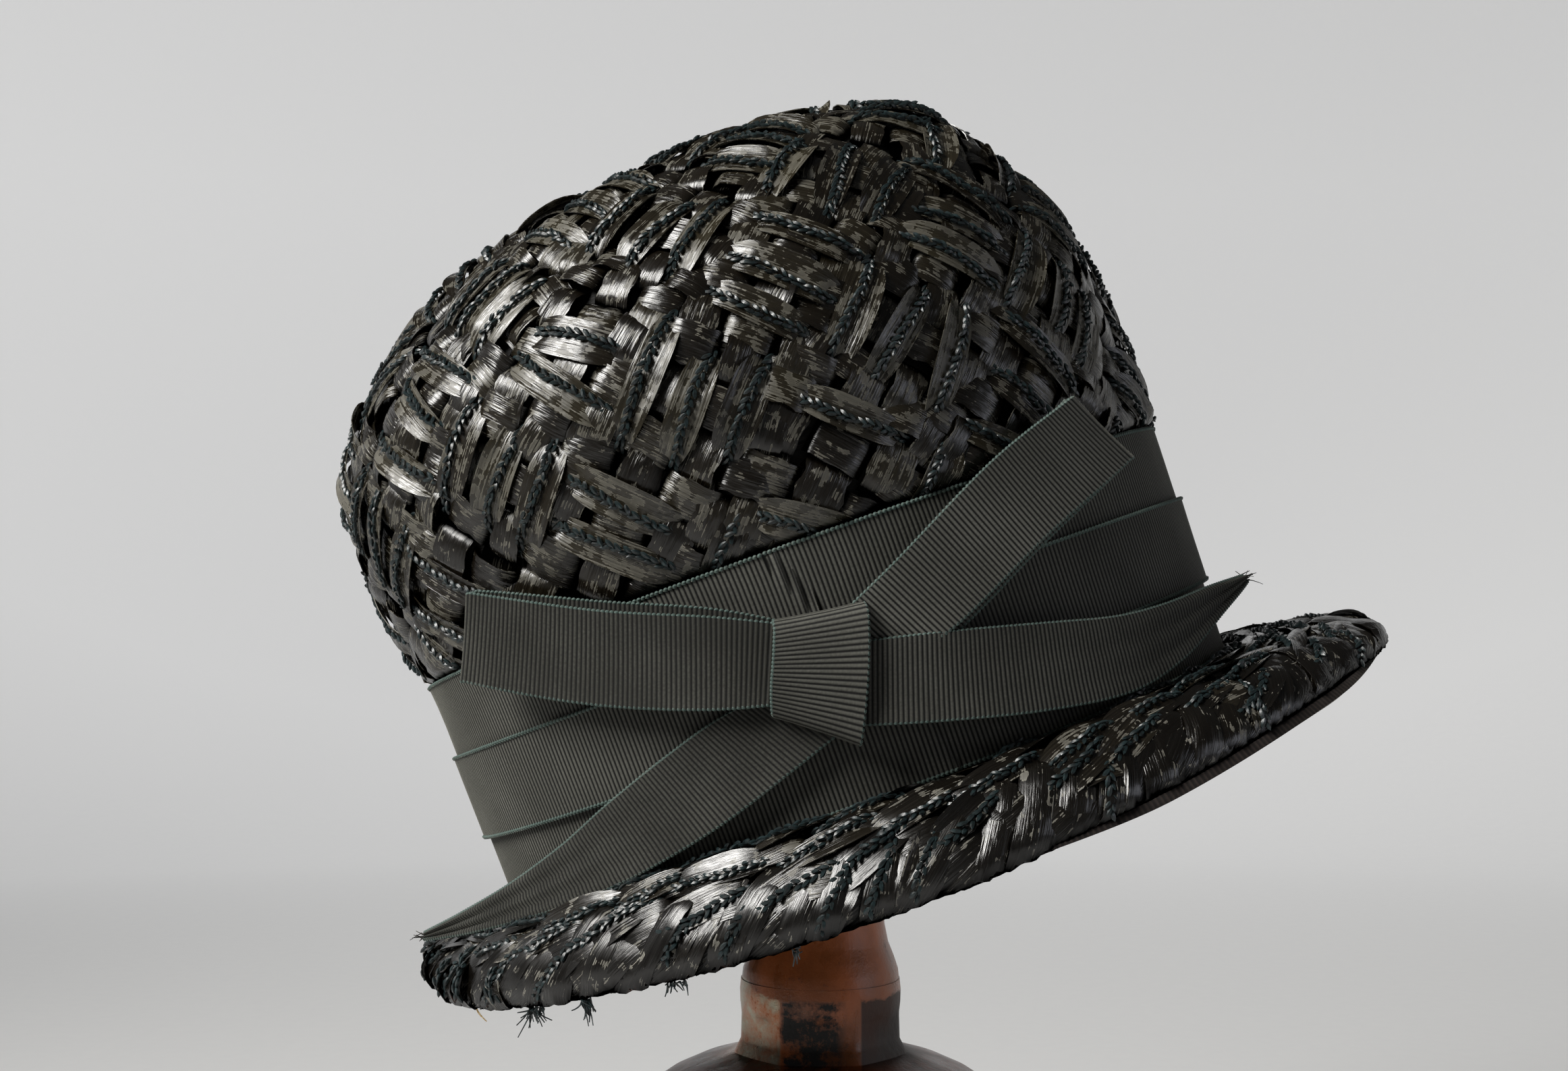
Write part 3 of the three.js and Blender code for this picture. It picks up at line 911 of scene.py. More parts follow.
LOBE_ROUND = np.array([[math.cos(a), math.sin(a)] for a in np.radians([0, 72, 144, 216, 288])])
LOBE_RINGS = ((-0.55, 0.8), (0.0, 1.0), (0.55, 0.8))  # place along the lobe and radius of each ring
LOBE_POINTS = np.array(
    [[0, 0, -1.0]] + [[x * r, y * r, z] for z, r in LOBE_RINGS for x, y in LOBE_ROUND] + [[0, 0, 1.0]]
)
LOBE_QUADS = np.array([[b + i, b + (i + 1) % 5, b + 5 + (i + 1) % 5, b + 5 + i] for b in (1, 6) for i in range(5)])
LOBE_CAPS = np.array(
    [[0, 1 + (i + 1) % 5, 1 + i] for i in range(5)] + [[16, 11 + i, 11 + (i + 1) % 5] for i in range(5)]
)


def add_lobes(
    pile: MeshPile, centres: Array, axes: Array, ups: Array, length: float, radius: float, tone: float
) -> None:
    """Add rice-grain lobes of yarn.

    Args:
        pile: Mesh that takes them.
        centres: Middle of each lobe.
        axes: Direction that each lobe points in.
        ups: Roughly the direction that its top faces.
        length: Half of a lobe's length.
        radius: Half of its width.
        tone: Shade of the yarn.
    """
    axes = unit(axes)
    side = unit(np.cross(ups, axes))
    up = np.cross(axes, side)
    points = (
        centres[:, None]
        + LOBE_POINTS[None, :, 0:1] * side[:, None] * radius
        + LOBE_POINTS[None, :, 1:2] * up[:, None] * radius
        + LOBE_POINTS[None, :, 2:3] * axes[:, None] * length
    )
    shift = (np.arange(len(centres)) * len(LOBE_POINTS))[:, None, None]
    faces = [(LOBE_QUADS[None] + shift).reshape(-1, 4), (LOBE_CAPS[None] + shift).reshape(-1, 3)]
    pile.add(points.reshape(-1, 3), faces, tone=tone)


def resample(path: Array, step: float) -> tuple[Array, Array]:
    """Return a path's points at an even spacing, and where they lie on it from 0 to 1."""
    runs = runs_along(path)
    count = max(int(round(runs[-1] / step)), 3)
    wanted = np.linspace(0, runs[-1], count + 1)
    return np.stack([np.interp(wanted, runs, path[:, k]) for k in range(3)], -1), wanted / runs[-1]


@dataclass(frozen=True)
class StitchedCord:
    """A cord of chain stitches: two lobes of yarn a stitch, laid as arrowheads."""

    stitch: float = 2.3
    lobe_length: float = 1.55
    lobe_radius: float = 0.62
    spread: float = 0.56
    splay: float = 0.42

    def lay(self, pile: MeshPile, path: Array, normals: Array, random: np.random.Generator) -> None:
        """Add a cord along a path.

        Args:
            pile: Mesh that takes the cord.
            path: Points of its middle line.
            normals: The way its top faces, at each point.
            random: Source of the stitches' unevenness.
        """
        points, share = resample(path, self.stitch)
        at = share * (len(path) - 1)
        ups = unit(np.stack([np.interp(at, np.arange(len(path)), normals[:, k]) for k in range(3)], -1))
        ways = unit(np.gradient(points, axis=0))
        sides = unit(np.cross(ups, ways))
        for sign in (-1, 1):
            uneven = random.normal(0, 1, (len(points), 6))
            shift = sides * self.spread + ups * 0.15 + ways * 0.3
            centres = points + shift * sign + uneven[:, :3] * 0.16
            axes = ways - sides * self.splay * sign + ups * 0.25 * sign + uneven[:, 3:] * 0.2
            add_lobes(pile, centres, axes, ups, self.lobe_length, self.lobe_radius, float(random.uniform()))


@dataclass
class StrawHand:
    """Lays strips, corded leaves and cords, with a steady but not perfect hand."""

    seed: int
    strips: MeshPile = field(default_factory=MeshPile)
    leaves: MeshPile = field(default_factory=MeshPile)
    cords: MeshPile = field(default_factory=MeshPile)
    thickness: float = 0.25
    tucked: float = -2.0
    cord_room: float = 0.15  # cords end where the cell leaves less room than this
    leaf_tones: Pair = (0.4, 1.0)
    cord: StitchedCord = StitchedCord()

    def __post_init__(self) -> None:
        """Seed the hand's small slips."""
        self.random = np.random.default_rng(self.seed)

    def slip(self, size: float) -> float:
        """Return a small random slip, at most twice its usual size."""
        return float(np.clip(self.random.normal(0, size), -2 * size, 2 * size))

    def lay(
        self,
        pile: MeshPile,
        press: Press,
        middle: Pair,
        angle: float,
        length: float,
        half: Callable[[Array], Array],
        height: Callable[[Array, Array], Array],
        grid: tuple[int, int],
        tones: Pair = (0.1, 0.75),
    ) -> None:
        """Lay one thin piece of straw.

        Args:
            pile: Mesh that takes it.
            press: The cell's way of pressing a flat drawing on the hat.
            middle: Its middle, to the right and up from the cell's, in millimetres.
            angle: Direction of its length, up from the right, in degrees.
            length: Its length.
            half: Half of its width along its length, from -1 to 1.
            height: Its height over the face, along its length and across it.
            grid: Points along it and across it.
            tones: Range from which its shade is drawn.
        """
        x, v = np.meshgrid(np.linspace(-1, 1, grid[0]), np.linspace(-1, 1, grid[1]), indexing="ij")
        run, side = x * length / 2, v * half(x)
        cos, sin = math.cos(math.radians(angle)), math.sin(math.radians(angle))
        base, normals, room = press(middle[0] + run * cos - side * sin, middle[1] + run * sin + side * cos)
        lift = height(x, v) * room + self.tucked * (1 - room)
        front = base + normals * lift[..., None]
        back = front - normals * self.thickness
        shift = self.random.uniform(0, 900, 2)
        tone = float(self.random.uniform(*tones))
        # painted shade: points low in the weave, more so where the cell leaves little room, get a low value that the
        # straw's material paints near black
        lie = np.clip((lift - self.tucked) / (0.3 - self.tucked), 0, 1) * (0.3 + 0.7 * room)
        pile.add_sheet(front, back, np.stack([run + shift[0], side + shift[1]], -1), tone, lie)

    def patch(self, press: Press, middle: Pair, angle: float, length: float, width: float, arch: float) -> None:
        """Lay a short flat piece that arches up out of the ground and tucks in at both ends."""
        tilt, ragged, phase = self.slip(0.75), self.random.uniform(0.03, 0.09), self.random.uniform(0, 6)

        def half(x: Array) -> Array:
            """Nearly even width, a little ragged."""
            return width / 2 * (1 + ragged * np.sin(7 * x + phase))

        def height(x: Array, v: Array) -> Array:
            """Arch along the strip, over a slight crown and tilt across it."""
            return arch - (arch - self.tucked) * np.abs(x) ** 3.6 + 0.3 * (1 - v * v) + tilt * v * (1 - x * x)

        self.lay(self.strips, press, middle, angle, length, half, height, (9, 4))

    def leaf(
        self, press: Press, middle: Pair, angle: float, length: float, width: float, lift: float = 1.7
    ) -> None:
        """Lay a corded leaf: a folded strip with raised wings either side of a chain-stitched cord."""
        broad = self.random.choice([-1.0, 1.0])
        wings = (self.random.uniform(0.5, 2.3), self.random.uniform(-0.3, 0.8))
        bend, phase = self.slip(0.5), self.random.uniform(0, 6)
        cord_side = -broad * width * self.random.uniform(0.05, 0.22)

        def half(x: Array) -> Array:
            """Canoe-shaped width."""
            return width / 2 * (1 - 0.66 * np.abs(x) ** 3.6)

        def height(x: Array, v: Array) -> Array:
            """Low at the ends and under the cord, with the wings curling up."""
            wing = np.where(v * broad > 0, wings[0], wings[1]) * np.abs(v) ** 1.5
            ripple = 0.13 * np.sin(5 * x + phase + 2 * v)
            return lift - (lift - self.tucked) * np.abs(x) ** 3.4 + wing * (1 - 0.5 * x * x) + ripple + bend * x * 0.4

        self.lay(self.leaves, press, middle, angle, length, half, height, (12, 6), self.leaf_tones)
        x = np.linspace(-0.94, 0.94, 24)
        wander = cord_side + 0.6 * np.sin(2.6 * x + phase)
        cos, sin = math.cos(math.radians(angle)), math.sin(math.radians(angle))
        run = x * length / 2
        base, normals, room = press(middle[0] + run * cos - wander * sin, middle[1] + run * sin + wander * cos)
        lifts = (height(x, np.zeros_like(x)) + 0.75) * room + self.tucked * (1 - room)
        if float(room.max()) > self.cord_room:
            keep = room > self.cord_room
            if int(keep.sum()) > 5:
                self.cord.lay(self.cords, (base + normals * lifts[:, None])[keep], normals[keep], self.random)


@dataclass
class StrawCrown:
    """The crown: blocks of three corded leaves in turn this way and that, over a plain-woven ground."""

    form: CrownForm
    block: float = 36.6  # side of a block of three leaves
    block_spacing: float = 51.8  # between the middles of blocks in one ring
    lone_spacing: float = 52.0  # for the one block on the tip
    leaf_length: float = 31.5
    leaf_width: float = 8.9
    strip_width: float = 9.4
    shell_outer: float = -2.3
    # rise above the band's top edge, blocks round, arc of one block's middle, direction of its leaves
    rings: tuple = (
        (-12.0, 11, -11.0, 45.0),
        (13.4, 11, 17.0, -46.0),
        (39.5, 12, -5.7, 45.0),
        (63.5, 12, 24.8, -46.0),
        (89.0, 11, -4.0, 45.0),
        (113.0, 9, 21.0, -46.0),
        (138.0, 6, 0.0, 45.0),
        (162.0, 4, 22.0, -46.0),
        (190.0, 1, 0.0, 45.0),
    )

    def build(self) -> None:
        """Build the shell and everything woven over it."""
        self.build_shell()
        hand = StrawHand(seed=11)
        for rise, count, anchor, angle in self.rings:
            place = self.form.places[2] + rise
            turns, arcs = self.form.turns_of_arcs(place)
            around = arcs[-1] - arcs[0]
            for k in range(count):
                arc = anchor + k * around / count
                arc = (arc + around / 2) % around - around / 2
                turn = float(np.interp(arc, arcs, turns))
                spacing = around / count if count > 1 else self.lone_spacing
                scale = float(np.clip(spacing / self.block_spacing, 0.86, 1.1))
                self.block_of_leaves(hand, place, turn, angle, scale)
        hand.strips.build("crown_plain_strips", STRAW, "straw")
        hand.leaves.build("crown_leaves", STRAW, "straw")
        hand.cords.build("crown_cords", CORD, "straw")

    def block_of_leaves(self, hand: StrawHand, place: float, turn: float, angle: float, scale: float) -> None:
        """Weave one block.

        Args:
            hand: The hand that lays it.
            place: Place of its middle on the outline.
            turn: Turn of its middle.
            angle: Direction of its leaves, up from the right, in degrees.
            scale: Size of the block against the usual one.
        """
        press = self.form.cell(place, turn)
        turned = angle + hand.slip(2.0)
        cos, sin = math.cos(math.radians(turned)), math.sin(math.radians(turned))
        step = self.block / 3 * scale

        def middle(along: float, across: float) -> Pair:
            """Turn a place in the block into one to the right and up."""
            return along * cos - across * sin, along * sin + across * cos

        for j in (-1, 0, 1):  # strips that cross under the leaves
            for gap in (-1.5, -0.5, 0.5, 1.5):
                over = (j == 0) == (gap in (-0.5, 1.5))
                arch = hand.random.uniform(0.3, 1.1) if over else -1.2
                spot = middle(j * step + hand.slip(0.5), gap * step + hand.slip(0.4))
                across = turned + 90 + hand.slip(4)
                hand.patch(press, spot, across, step * 1.22, self.strip_width * scale + hand.slip(0.7), arch)
        for gap in (-1, 0, 1, 2):  # strips that run with the leaves, between them
            for j in (-1, 0, 1):
                if (j == 0) == (gap in (0, 2)):
                    continue
                spot = middle(j * step + hand.slip(0.6), (gap - 0.5) * step + hand.slip(0.5))
                along, width = turned + hand.slip(5), self.strip_width * 0.88 * scale
                hand.patch(press, spot, along, step * 1.18, width, hand.random.uniform(0.2, 1.0))
        for row in (-1, 0, 1):
            if hand.random.uniform() < 0.04:
                continue
            length = self.leaf_length * scale * (1 + hand.slip(0.07))
            spot = middle(hand.slip(1.4), row * step + hand.slip(0.8))
            hand.leaf(press, spot, turned + hand.slip(4.5), length, self.leaf_width * (1 + hand.slip(0.09)))

    def build_shell(self) -> None:
        """Build the closed body of the crown, under the woven face and showing inside the hat."""
        pile = MeshPile()
        place = np.linspace(0, self.form.tip, 52)
        turn = np.arange(0, 360, 3.0)
        grid_turn, grid_place = np.meshgrid(turn, place, indexing="ij")
        outer = self.form.point(grid_place, grid_turn, self.shell_outer)
        check = np.sin(grid_place * math.pi / STRIP_PITCH) * np.sin(np.radians(grid_turn) * 25)
        check *= np.clip((self.form.tip - grid_place) / 4, 0, 1)
        inner = self.form.point(grid_place, grid_turn, -STRAW_THICKNESS - 0.1 + 0.25 * check)
        loops = np.concatenate([outer, inner[:, ::-1]], 1)
        around = grid_turn * 1.7
        uv = np.concatenate([np.stack([around, grid_place], -1), np.stack([around, grid_place], -1)[:, ::-1]], 1)
        pile.add_ring(loops, uv)
        weld(pile.build("crown_body", STRAW_BODY, "straw", ["crown"]))


@dataclass
class StrawBrim:
    """The brim: long leaves round the crown's foot, then strips that wrap slantwise over the rolled edge."""

    form: BrimForm
    shell_outer: float = -1.5
    slant: float = 52.0
    # turn, length and number of threads of each torn end
    torn: tuple = (
        (-47.0, 3.6, 22),
        (-46.0, 2.4, 12),
        (-38.5, 3.4, 22),
        (-27.0, 2.2, 16),
        (-25.5, 1.8, 10),
        (-13.0, 2.0, 14),
        (-94.0, 4.0, 12),
        (142.0, 2.5, 12),
        (-150.0, 2.5, 12),
    )

    def build(self) -> None:
        """Build the shell and everything woven over it."""
        self.build_shell()
        hand = StrawHand(seed=23, tucked=-1.4, cord_room=0.74, leaf_tones=(0.0, 0.7))
        self.ground(hand)
        self.upper_leaves(hand)
        self.edge_leaves(hand)
        hand.strips.build("brim_plain_strips", BRIM_STRAW, "straw")
        hand.leaves.build("brim_leaves", BRIM_STRAW, "straw")
        hand.cords.build("brim_cords", CORD, "straw")
        self.build_frays()

    def build_frays(self) -> None:
        """Build the cords' torn ends that hang under the edge, and one fleck of undyed straw."""
        frays = Frays("brim_frays", CORD, "straw", 7)
        for turn, length, count in self.torn:
            root, normal = self.form.at(np.array([turn]), np.array([1.0]))
            frays.tuft(root[0], unit(np.array([0.0, 0.0, -1.0]) + 0.4 * normal[0]), count, length, 0.45, 0.28)
        frays.build()
        fleck = Frays("brim_fleck", FLECK, "straw", 9)
        root, _ = self.form.at(np.array([-59.0]), np.array([1.0]))
        fleck.tuft(root[0], np.array([0.1, 0.0, -1.0]), 3, 3.4, 0.25, 0.3)
        fleck.build()

    def mean_step(self, past: float) -> Array:
        """Return evenly spread turns about a strip's pitch apart, at a distance past the edge."""
        points, _ = self.form.at(self.form.turns, np.full_like(self.form.turns, past))
        runs = runs_along(points)
        count = int(round(runs[-1] / STRIP_PITCH))
        return np.interp(np.arange(count) * runs[-1] / count, runs, self.form.turns)

    def ground(self, hand: StrawHand) -> None:
        """Lay broad plain strips: slantwise over the edge and, between them, along the brim."""
        for number, turn in enumerate(self.mean_step(0.0)):
            width = self.form.width(turn)
            press = self.form.cell(turn, -width * 0.35)
            spot = (hand.slip(1.0), -width * 0.2)
            length = (width * 0.95 + 9) / math.sin(math.radians(self.slant)) * 0.8
            angle = self.slant - 24 + hand.slip(5)
            self.long_strip(hand, press, spot, angle, length * 0.9, 9.0 + hand.slip(0.8), 0.0)
            angle, height = self.slant + hand.slip(7), 0.5 if number % 2 else 1.0
            self.long_strip(hand, press, spot, angle, length, 8.2 + hand.slip(1.0), height)
            for row in range(1, int(width // 11) + 1):
                inner = self.form.cell(turn, -(row + 0.4) * 11)
                if (number + row) % 2:
                    middle, angle = (hand.slip(1), hand.slip(1)), 8 + hand.slip(8)
                    hand.patch(inner, middle, angle, 17.0, 9.6, hand.random.uniform(0.6, 1.3))

    def long_strip(
        self, hand: StrawHand, press: Press, middle: Pair, angle: float, length: float, width: float, lift: float
    ) -> None:
        """Lay one long plain strip that goes over and under as it wraps the edge."""
        phase, tilt = hand.random.uniform(0, 6), hand.slip(0.6)

        def half(x: Array) -> Array:
            """Even width, a little ragged."""
            return width / 2 * (1 + 0.05 * np.sin(9 * x + phase) - 0.3 * np.abs(x) ** 8)

        def height(x: Array, v: Array) -> Array:
            """Waves over and under its neighbours."""
            wave = 0.5 * np.sin(x * length / 2 * math.pi / STRIP_PITCH + phase)
            return lift + wave - (lift + 1.2) * np.abs(x) ** 6 + 0.8 * (1 - v * v) + tilt * v

        hand.lay(hand.strips, press, middle, angle, length, half, height, (14, 6), (0.0, 0.4))

    def upper_leaves(self, hand: StrawHand) -> None:
        """Lay the long corded leaves that run along the brim under the band."""
        for number, turn in enumerate(self.mean_step(-12.0)):
            if number % 2:
                continue
            width = self.form.width(turn)
            rows = max(int((width - 11) // 7.5), 1)
            for row in range(rows):
                past = -width + 6.5 + row * 7.5
                press = self.form.cell(turn + (row % 2) * 4.5, past)
                if hand.random.uniform() < 0.12:
                    continue
                angle = hand.random.uniform(0, 18) if row < 2 else hand.random.uniform(8, 28)
                middle = (hand.slip(2.0), hand.slip(0.6))
                hand.leaf(press, middle, angle, 27 + hand.slip(2.5), 7.6 + hand.slip(0.6), 1.1)

    def edge_leaves(self, hand: StrawHand) -> None:
        """Lay the corded leaves that slant down over the rolled edge, in groups of two or three."""
        for number, turn in enumerate(self.mean_step(0.0)):
            if number % 4 == 1 or (number % 4 > 1 and hand.random.uniform() < 0.6):
                continue
            press = self.form.cell(turn + hand.slip(1.0), -8.5)
            angle = hand.random.uniform(30, 62)
            hand.leaf(press, (hand.slip(1.0), hand.slip(1.0)), angle, 21 + hand.slip(3), 7.6 + hand.slip(0.8), 1.0)
        for turn in (-52, -60, -67, -76, -85, -95):  # loose ones at the worn back end
            press = self.form.cell(turn, -5.5)
            hand.leaf(press, (0.0, 0.0), hand.random.uniform(40, 110), 15 + hand.slip(2), 5.5, 1.9)

    def build_shell(self) -> None:
        """Build the brim's closed body, from under the crown's foot round the edge and back."""
        pile = MeshPile()
        turns = np.arange(0, 360, 1.5)
        loops = []
        for turn in turns:
            width = self.form.width(turn)
            stretches = ((-width, -3, 14), (-2, 3, 8), (5, 0.66 * width, 12))
            past = np.concatenate([np.linspace(*stretch) for stretch in stretches])
            points, normals = self.form.at(np.full_like(past, turn), past)
            sink = np.where(past < 3, self.shell_outer, 0.0)
            check = 0.3 * np.sin(past * math.pi / 6.1) * math.sin(math.radians(turn) * 30) * (past > 3)
            section = points + normals * (sink + check)[:, None]
            inner = self.form.crown.point(np.array(0.0), np.array(float(turn)), -STRAW_THICKNESS)
            root = self.form.line(np.array(float(turn)), 0.06, -STRAW_THICKNESS / 2)
            top, low = inner.copy(), inner.copy()
            top[2], low[2] = CROWN_FOOT - GAP, CROWN_FOOT - GAP - STRAW_THICKNESS
            loops.append(np.concatenate([[top], section, [root, low]]))
        grid = np.array(loops)
        run = np.cumsum(np.linalg.norm(np.diff(grid, axis=1, prepend=grid[:, :1]), axis=2), 1)
        around = np.broadcast_to((turns * 2.2)[:, None], run.shape)
        pile.add_ring(grid[:, ::-1], np.stack([around, run], -1)[:, ::-1])
        weld(pile.build("brim_body", STRAW_BODY, "straw", ["brim"]))


@dataclass
class Selvages:
    """The looped selvage yarn along the ribbons' edges, gathered into one piece."""

    name: str
    pile: MeshPile = field(default_factory=MeshPile)
    half_length: float = 0.72
    radius: float = 0.56

    def edge(self, points: Array, ways: Array, ups: Array) -> None:
        """Add one loop of yarn at each point of an edge."""
        tilt = np.cross(ups, ways)
        add_lobes(self.pile, points, ways + tilt * 0.35, ups, self.half_length, self.radius, 0.9)

    def build(self) -> None:
        """Build the yarn."""
        self.pile.build(self.name, SELVAGE, "grosgrain")


def rib(run: Array) -> Array:
    """Height of the ribs, from 0 to 1, along a ribbon in millimetres."""
    return np.abs(np.cos(math.pi * run / RIB_PITCH)) ** 0.8


@dataclass
class Pleat:
    """A crease where the band's ribbon is drawn together, slanting up the tier."""

    turn_low: float
    turn_high: float
    rise: float = 1.5
    reach: float = 3.2  # degrees of turn over which it swells on the left


@dataclass
class BandTier:
    """One tier of the band: grosgrain wrapped round the crown."""

    name: str
    bottom: float
    top: float
    offset: float
    pleats: tuple = ()
    edges: tuple = ()
    samples: int = 4
    rib_height: float = 0.15

    def build(self, crown: CrownForm, selvages: Selvages) -> bpy.types.Object:
        """Build the tier and its selvages.

        Args:
            crown: The face that it lies on.
            selvages: Piece that takes the yarn along its edges.

        Returns:
            The tier.
        """
        low, high = crown.place_of(self.bottom), crown.place_of(self.top)
        turns, arcs = crown.turns_of_arcs((low + high) / 2)
        around = arcs[-1] - arcs[0]
        ribs = int(round(around / RIB_PITCH))
        run = np.arange(ribs * self.samples) * around / (ribs * self.samples)
        turn = np.interp(run + arcs[0], arcs, turns)
        places = np.linspace(low, high, 5)
        grid_turn, grid_place = np.meshgrid(turn, places, indexing="ij")
        share = (grid_place - low) / (high - low)
        swell = self.swell(grid_turn, share) + 0.12 * np.sin(np.radians(grid_turn) * 7 + share * 2) + 0.1
        ribs_up = rib(run * RIB_PITCH * ribs / around)[:, None] * self.rib_height
        outer = crown.point(grid_place, grid_turn, self.offset + 0.62 + ribs_up + swell)
        inner = crown.point(grid_place[:, [4, 0]], grid_turn[:, [4, 0]], self.offset + 0.05 + 0 * swell[:, [4, 0]])
        flat = np.stack(np.broadcast_arrays(run[:, None], grid_place), -1)
        pile = MeshPile()
        # rib heights, which the ribbon's material paints as shade in the valleys
        shade = np.broadcast_to(ribs_up / self.rib_height, (len(run), 7))
        pile.add_ring(np.concatenate([outer, inner], 1), np.concatenate([flat, flat[:, [4, 0]]], 1), shade)
        made = pile.build(f"{self.name}_ribbon", RIBBON, "grosgrain", [self.name], sharp=70)
        for side in self.edges:
            points = outer[:: self.samples, side]
            ways = unit(np.roll(points, -1, 0) - np.roll(points, 1, 0))
            ups = crown.normal(grid_place[:: self.samples, side], grid_turn[:: self.samples, side])
            selvages.edge(points, ways, ups)
        return made

    def swell(self, turn: Array, share: Array) -> Array:
        """How far the pleats stand the ribbon off the crown."""
        total = np.zeros_like(turn)
        for pleat in self.pleats:
            gap = turn - (pleat.turn_low + (pleat.turn_high - pleat.turn_low) * share)
            total += np.where(gap < 0, pleat.rise * np.exp(gap / pleat.reach), -0.25 * np.exp(-gap / 1.2))
        return total


class Fold(Enum):
    """How a bow ribbon runs."""

    OPEN = "open"
    LOOP = "loop"


@dataclass
class BowRibbon:
    """One ribbon of the bow, through rows of turn, height, standoff, half width and lean."""

    name: str
    rows: tuple
    fold: Fold = Fold.OPEN
    full_half: float = 11.0
    oval: Pair = (108.6, 91.8)
    loop_depth: float = 1.9
    puff: float = 1.0
    back_rise: float = 0.0  # how far the back ply shows past the front one
    pleats: float = 1.3
    samples: int = 5
    across: int = 9
    rib_height: float = 0.22
    thickness: float = 0.5
    hold: str = "laid"
    painted_light_shift: float = 0.0  # painted light and shade: how much lighter than the band its colour is painted, darker below 0

    def path(self) -> tuple[Array, Array, Array, Array]:
        """Return middles, unit width arrows, half widths and standoff directions along the ribbon."""
        table = SmoothTable(range(len(self.rows)), self.rows)
        last = len(self.rows) - 1
        if self.fold is Fold.OPEN:
            values = table.at(np.linspace(0, last, 500))
        else:
            out, bend = np.linspace(0, last, 300), np.radians(np.linspace(0, 180, 41))[1:-1]
            front, back = table.at(out), table.at(out[::-1])
            share = out / last
            depth = self.loop_depth / 2 + self.puff * np.sin(math.pi * share) ** 1.5
            front[:, 2] += depth
            back[:, 2] -= self.loop_depth / 2
            back[:, 1] += self.back_rise * np.sin(math.pi * share[::-1]) ** 0.7
            tip = np.repeat(table.at(np.array([float(last)])), len(bend), 0)
            tip[:, 0] += math.copysign(0.9, tip[0, 0]) * np.sin(bend)
            tip[:, 2] += self.loop_depth / 2 * np.cos(bend)
            values = np.concatenate([front, tip, back])
        turn, height, standoff, half, lean = values.T
        way = direction(turn)
        length, breadth = self.oval[0] + standoff, self.oval[1] + standoff
        middle = np.stack([length * way[:, 0], breadth * way[:, 1], height], -1)
        along = unit(np.stack([-length * way[:, 1], breadth * way[:, 0], np.zeros_like(turn)], -1))
        width = along * np.sin(np.radians(lean))[:, None]
        width[:, 2] = np.cos(np.radians(lean))
        return middle, width, half, way

    def build(self, selvages: Selvages) -> bpy.types.Object:
        """Build the ribbon and its selvages.

        Args:
            selvages: Piece that takes the yarn along its edges.

        Returns:
            The ribbon.
        """
        middle, width, half, way = self.path()
        runs = runs_along(middle)
        count = int(runs[-1] / RIB_PITCH * self.samples)
        run = np.linspace(0, runs[-1], count + 1)

        def along(values: Array) -> Array:
            """Read values at even runs along the ribbon."""
            return np.stack([np.interp(run, runs, column) for column in np.atleast_2d(values.T)], -1).squeeze()

        middle, width, half, way = along(middle), unit(along(width)), along(half), along(way)
        tangent = unit(np.gradient(middle, axis=0))
        normal = unit(np.cross(tangent, width))
        facing = np.sign(np.sum(normal * way, -1))[:, None, None]
        v = np.linspace(-1, 1, self.across)
        pinch = np.clip(1 - half / self.full_half, 0, 1)[:, None]
        crease = 0.5 + 0.5 * np.cos(2.6 * math.pi * v[None] + 0.8)
        wave = self.pleats * pinch * crease + 0.25 * (1 - pinch) * (v[None] ** 2)
        ribs = self.rib_height * rib(run)[:, None]
        spread = middle[:, None] + width[:, None] * (half[:, None] * v[None])[..., None]
        lifted = spread + normal[:, None] * facing * wave[..., None]
        depth = (self.thickness / 2 + ribs + 0 * v[None])[..., None] * normal[:, None]
        uv = np.stack(np.broadcast_arrays(run[:, None], v[None] * self.full_half), -1)
        pile = MeshPile()
        # rib heights, which the ribbon's material paints as shade in the valleys
        tones = np.broadcast_to(rib(run)[:, None], lifted.shape[:2])
        pile.add_sheet(lifted + depth, lifted - depth, uv, tones, 1 + self.painted_light_shift)
        made = pile.build(f"{self.name}_ribbon", RIBBON, "grosgrain", [self.name], sharp=70)
        for side in (0, -1):
            selvages.edge(lifted[:: self.samples, side], tangent[:: self.samples], normal[:: self.samples])
        return made

    def ending(self) -> tuple[Array, Array]:
        """Return the ribbon's far end and the direction that it points in."""
        middle, _, _, _ = self.path()
        return middle[-1], unit(middle[-1] - middle[-6])


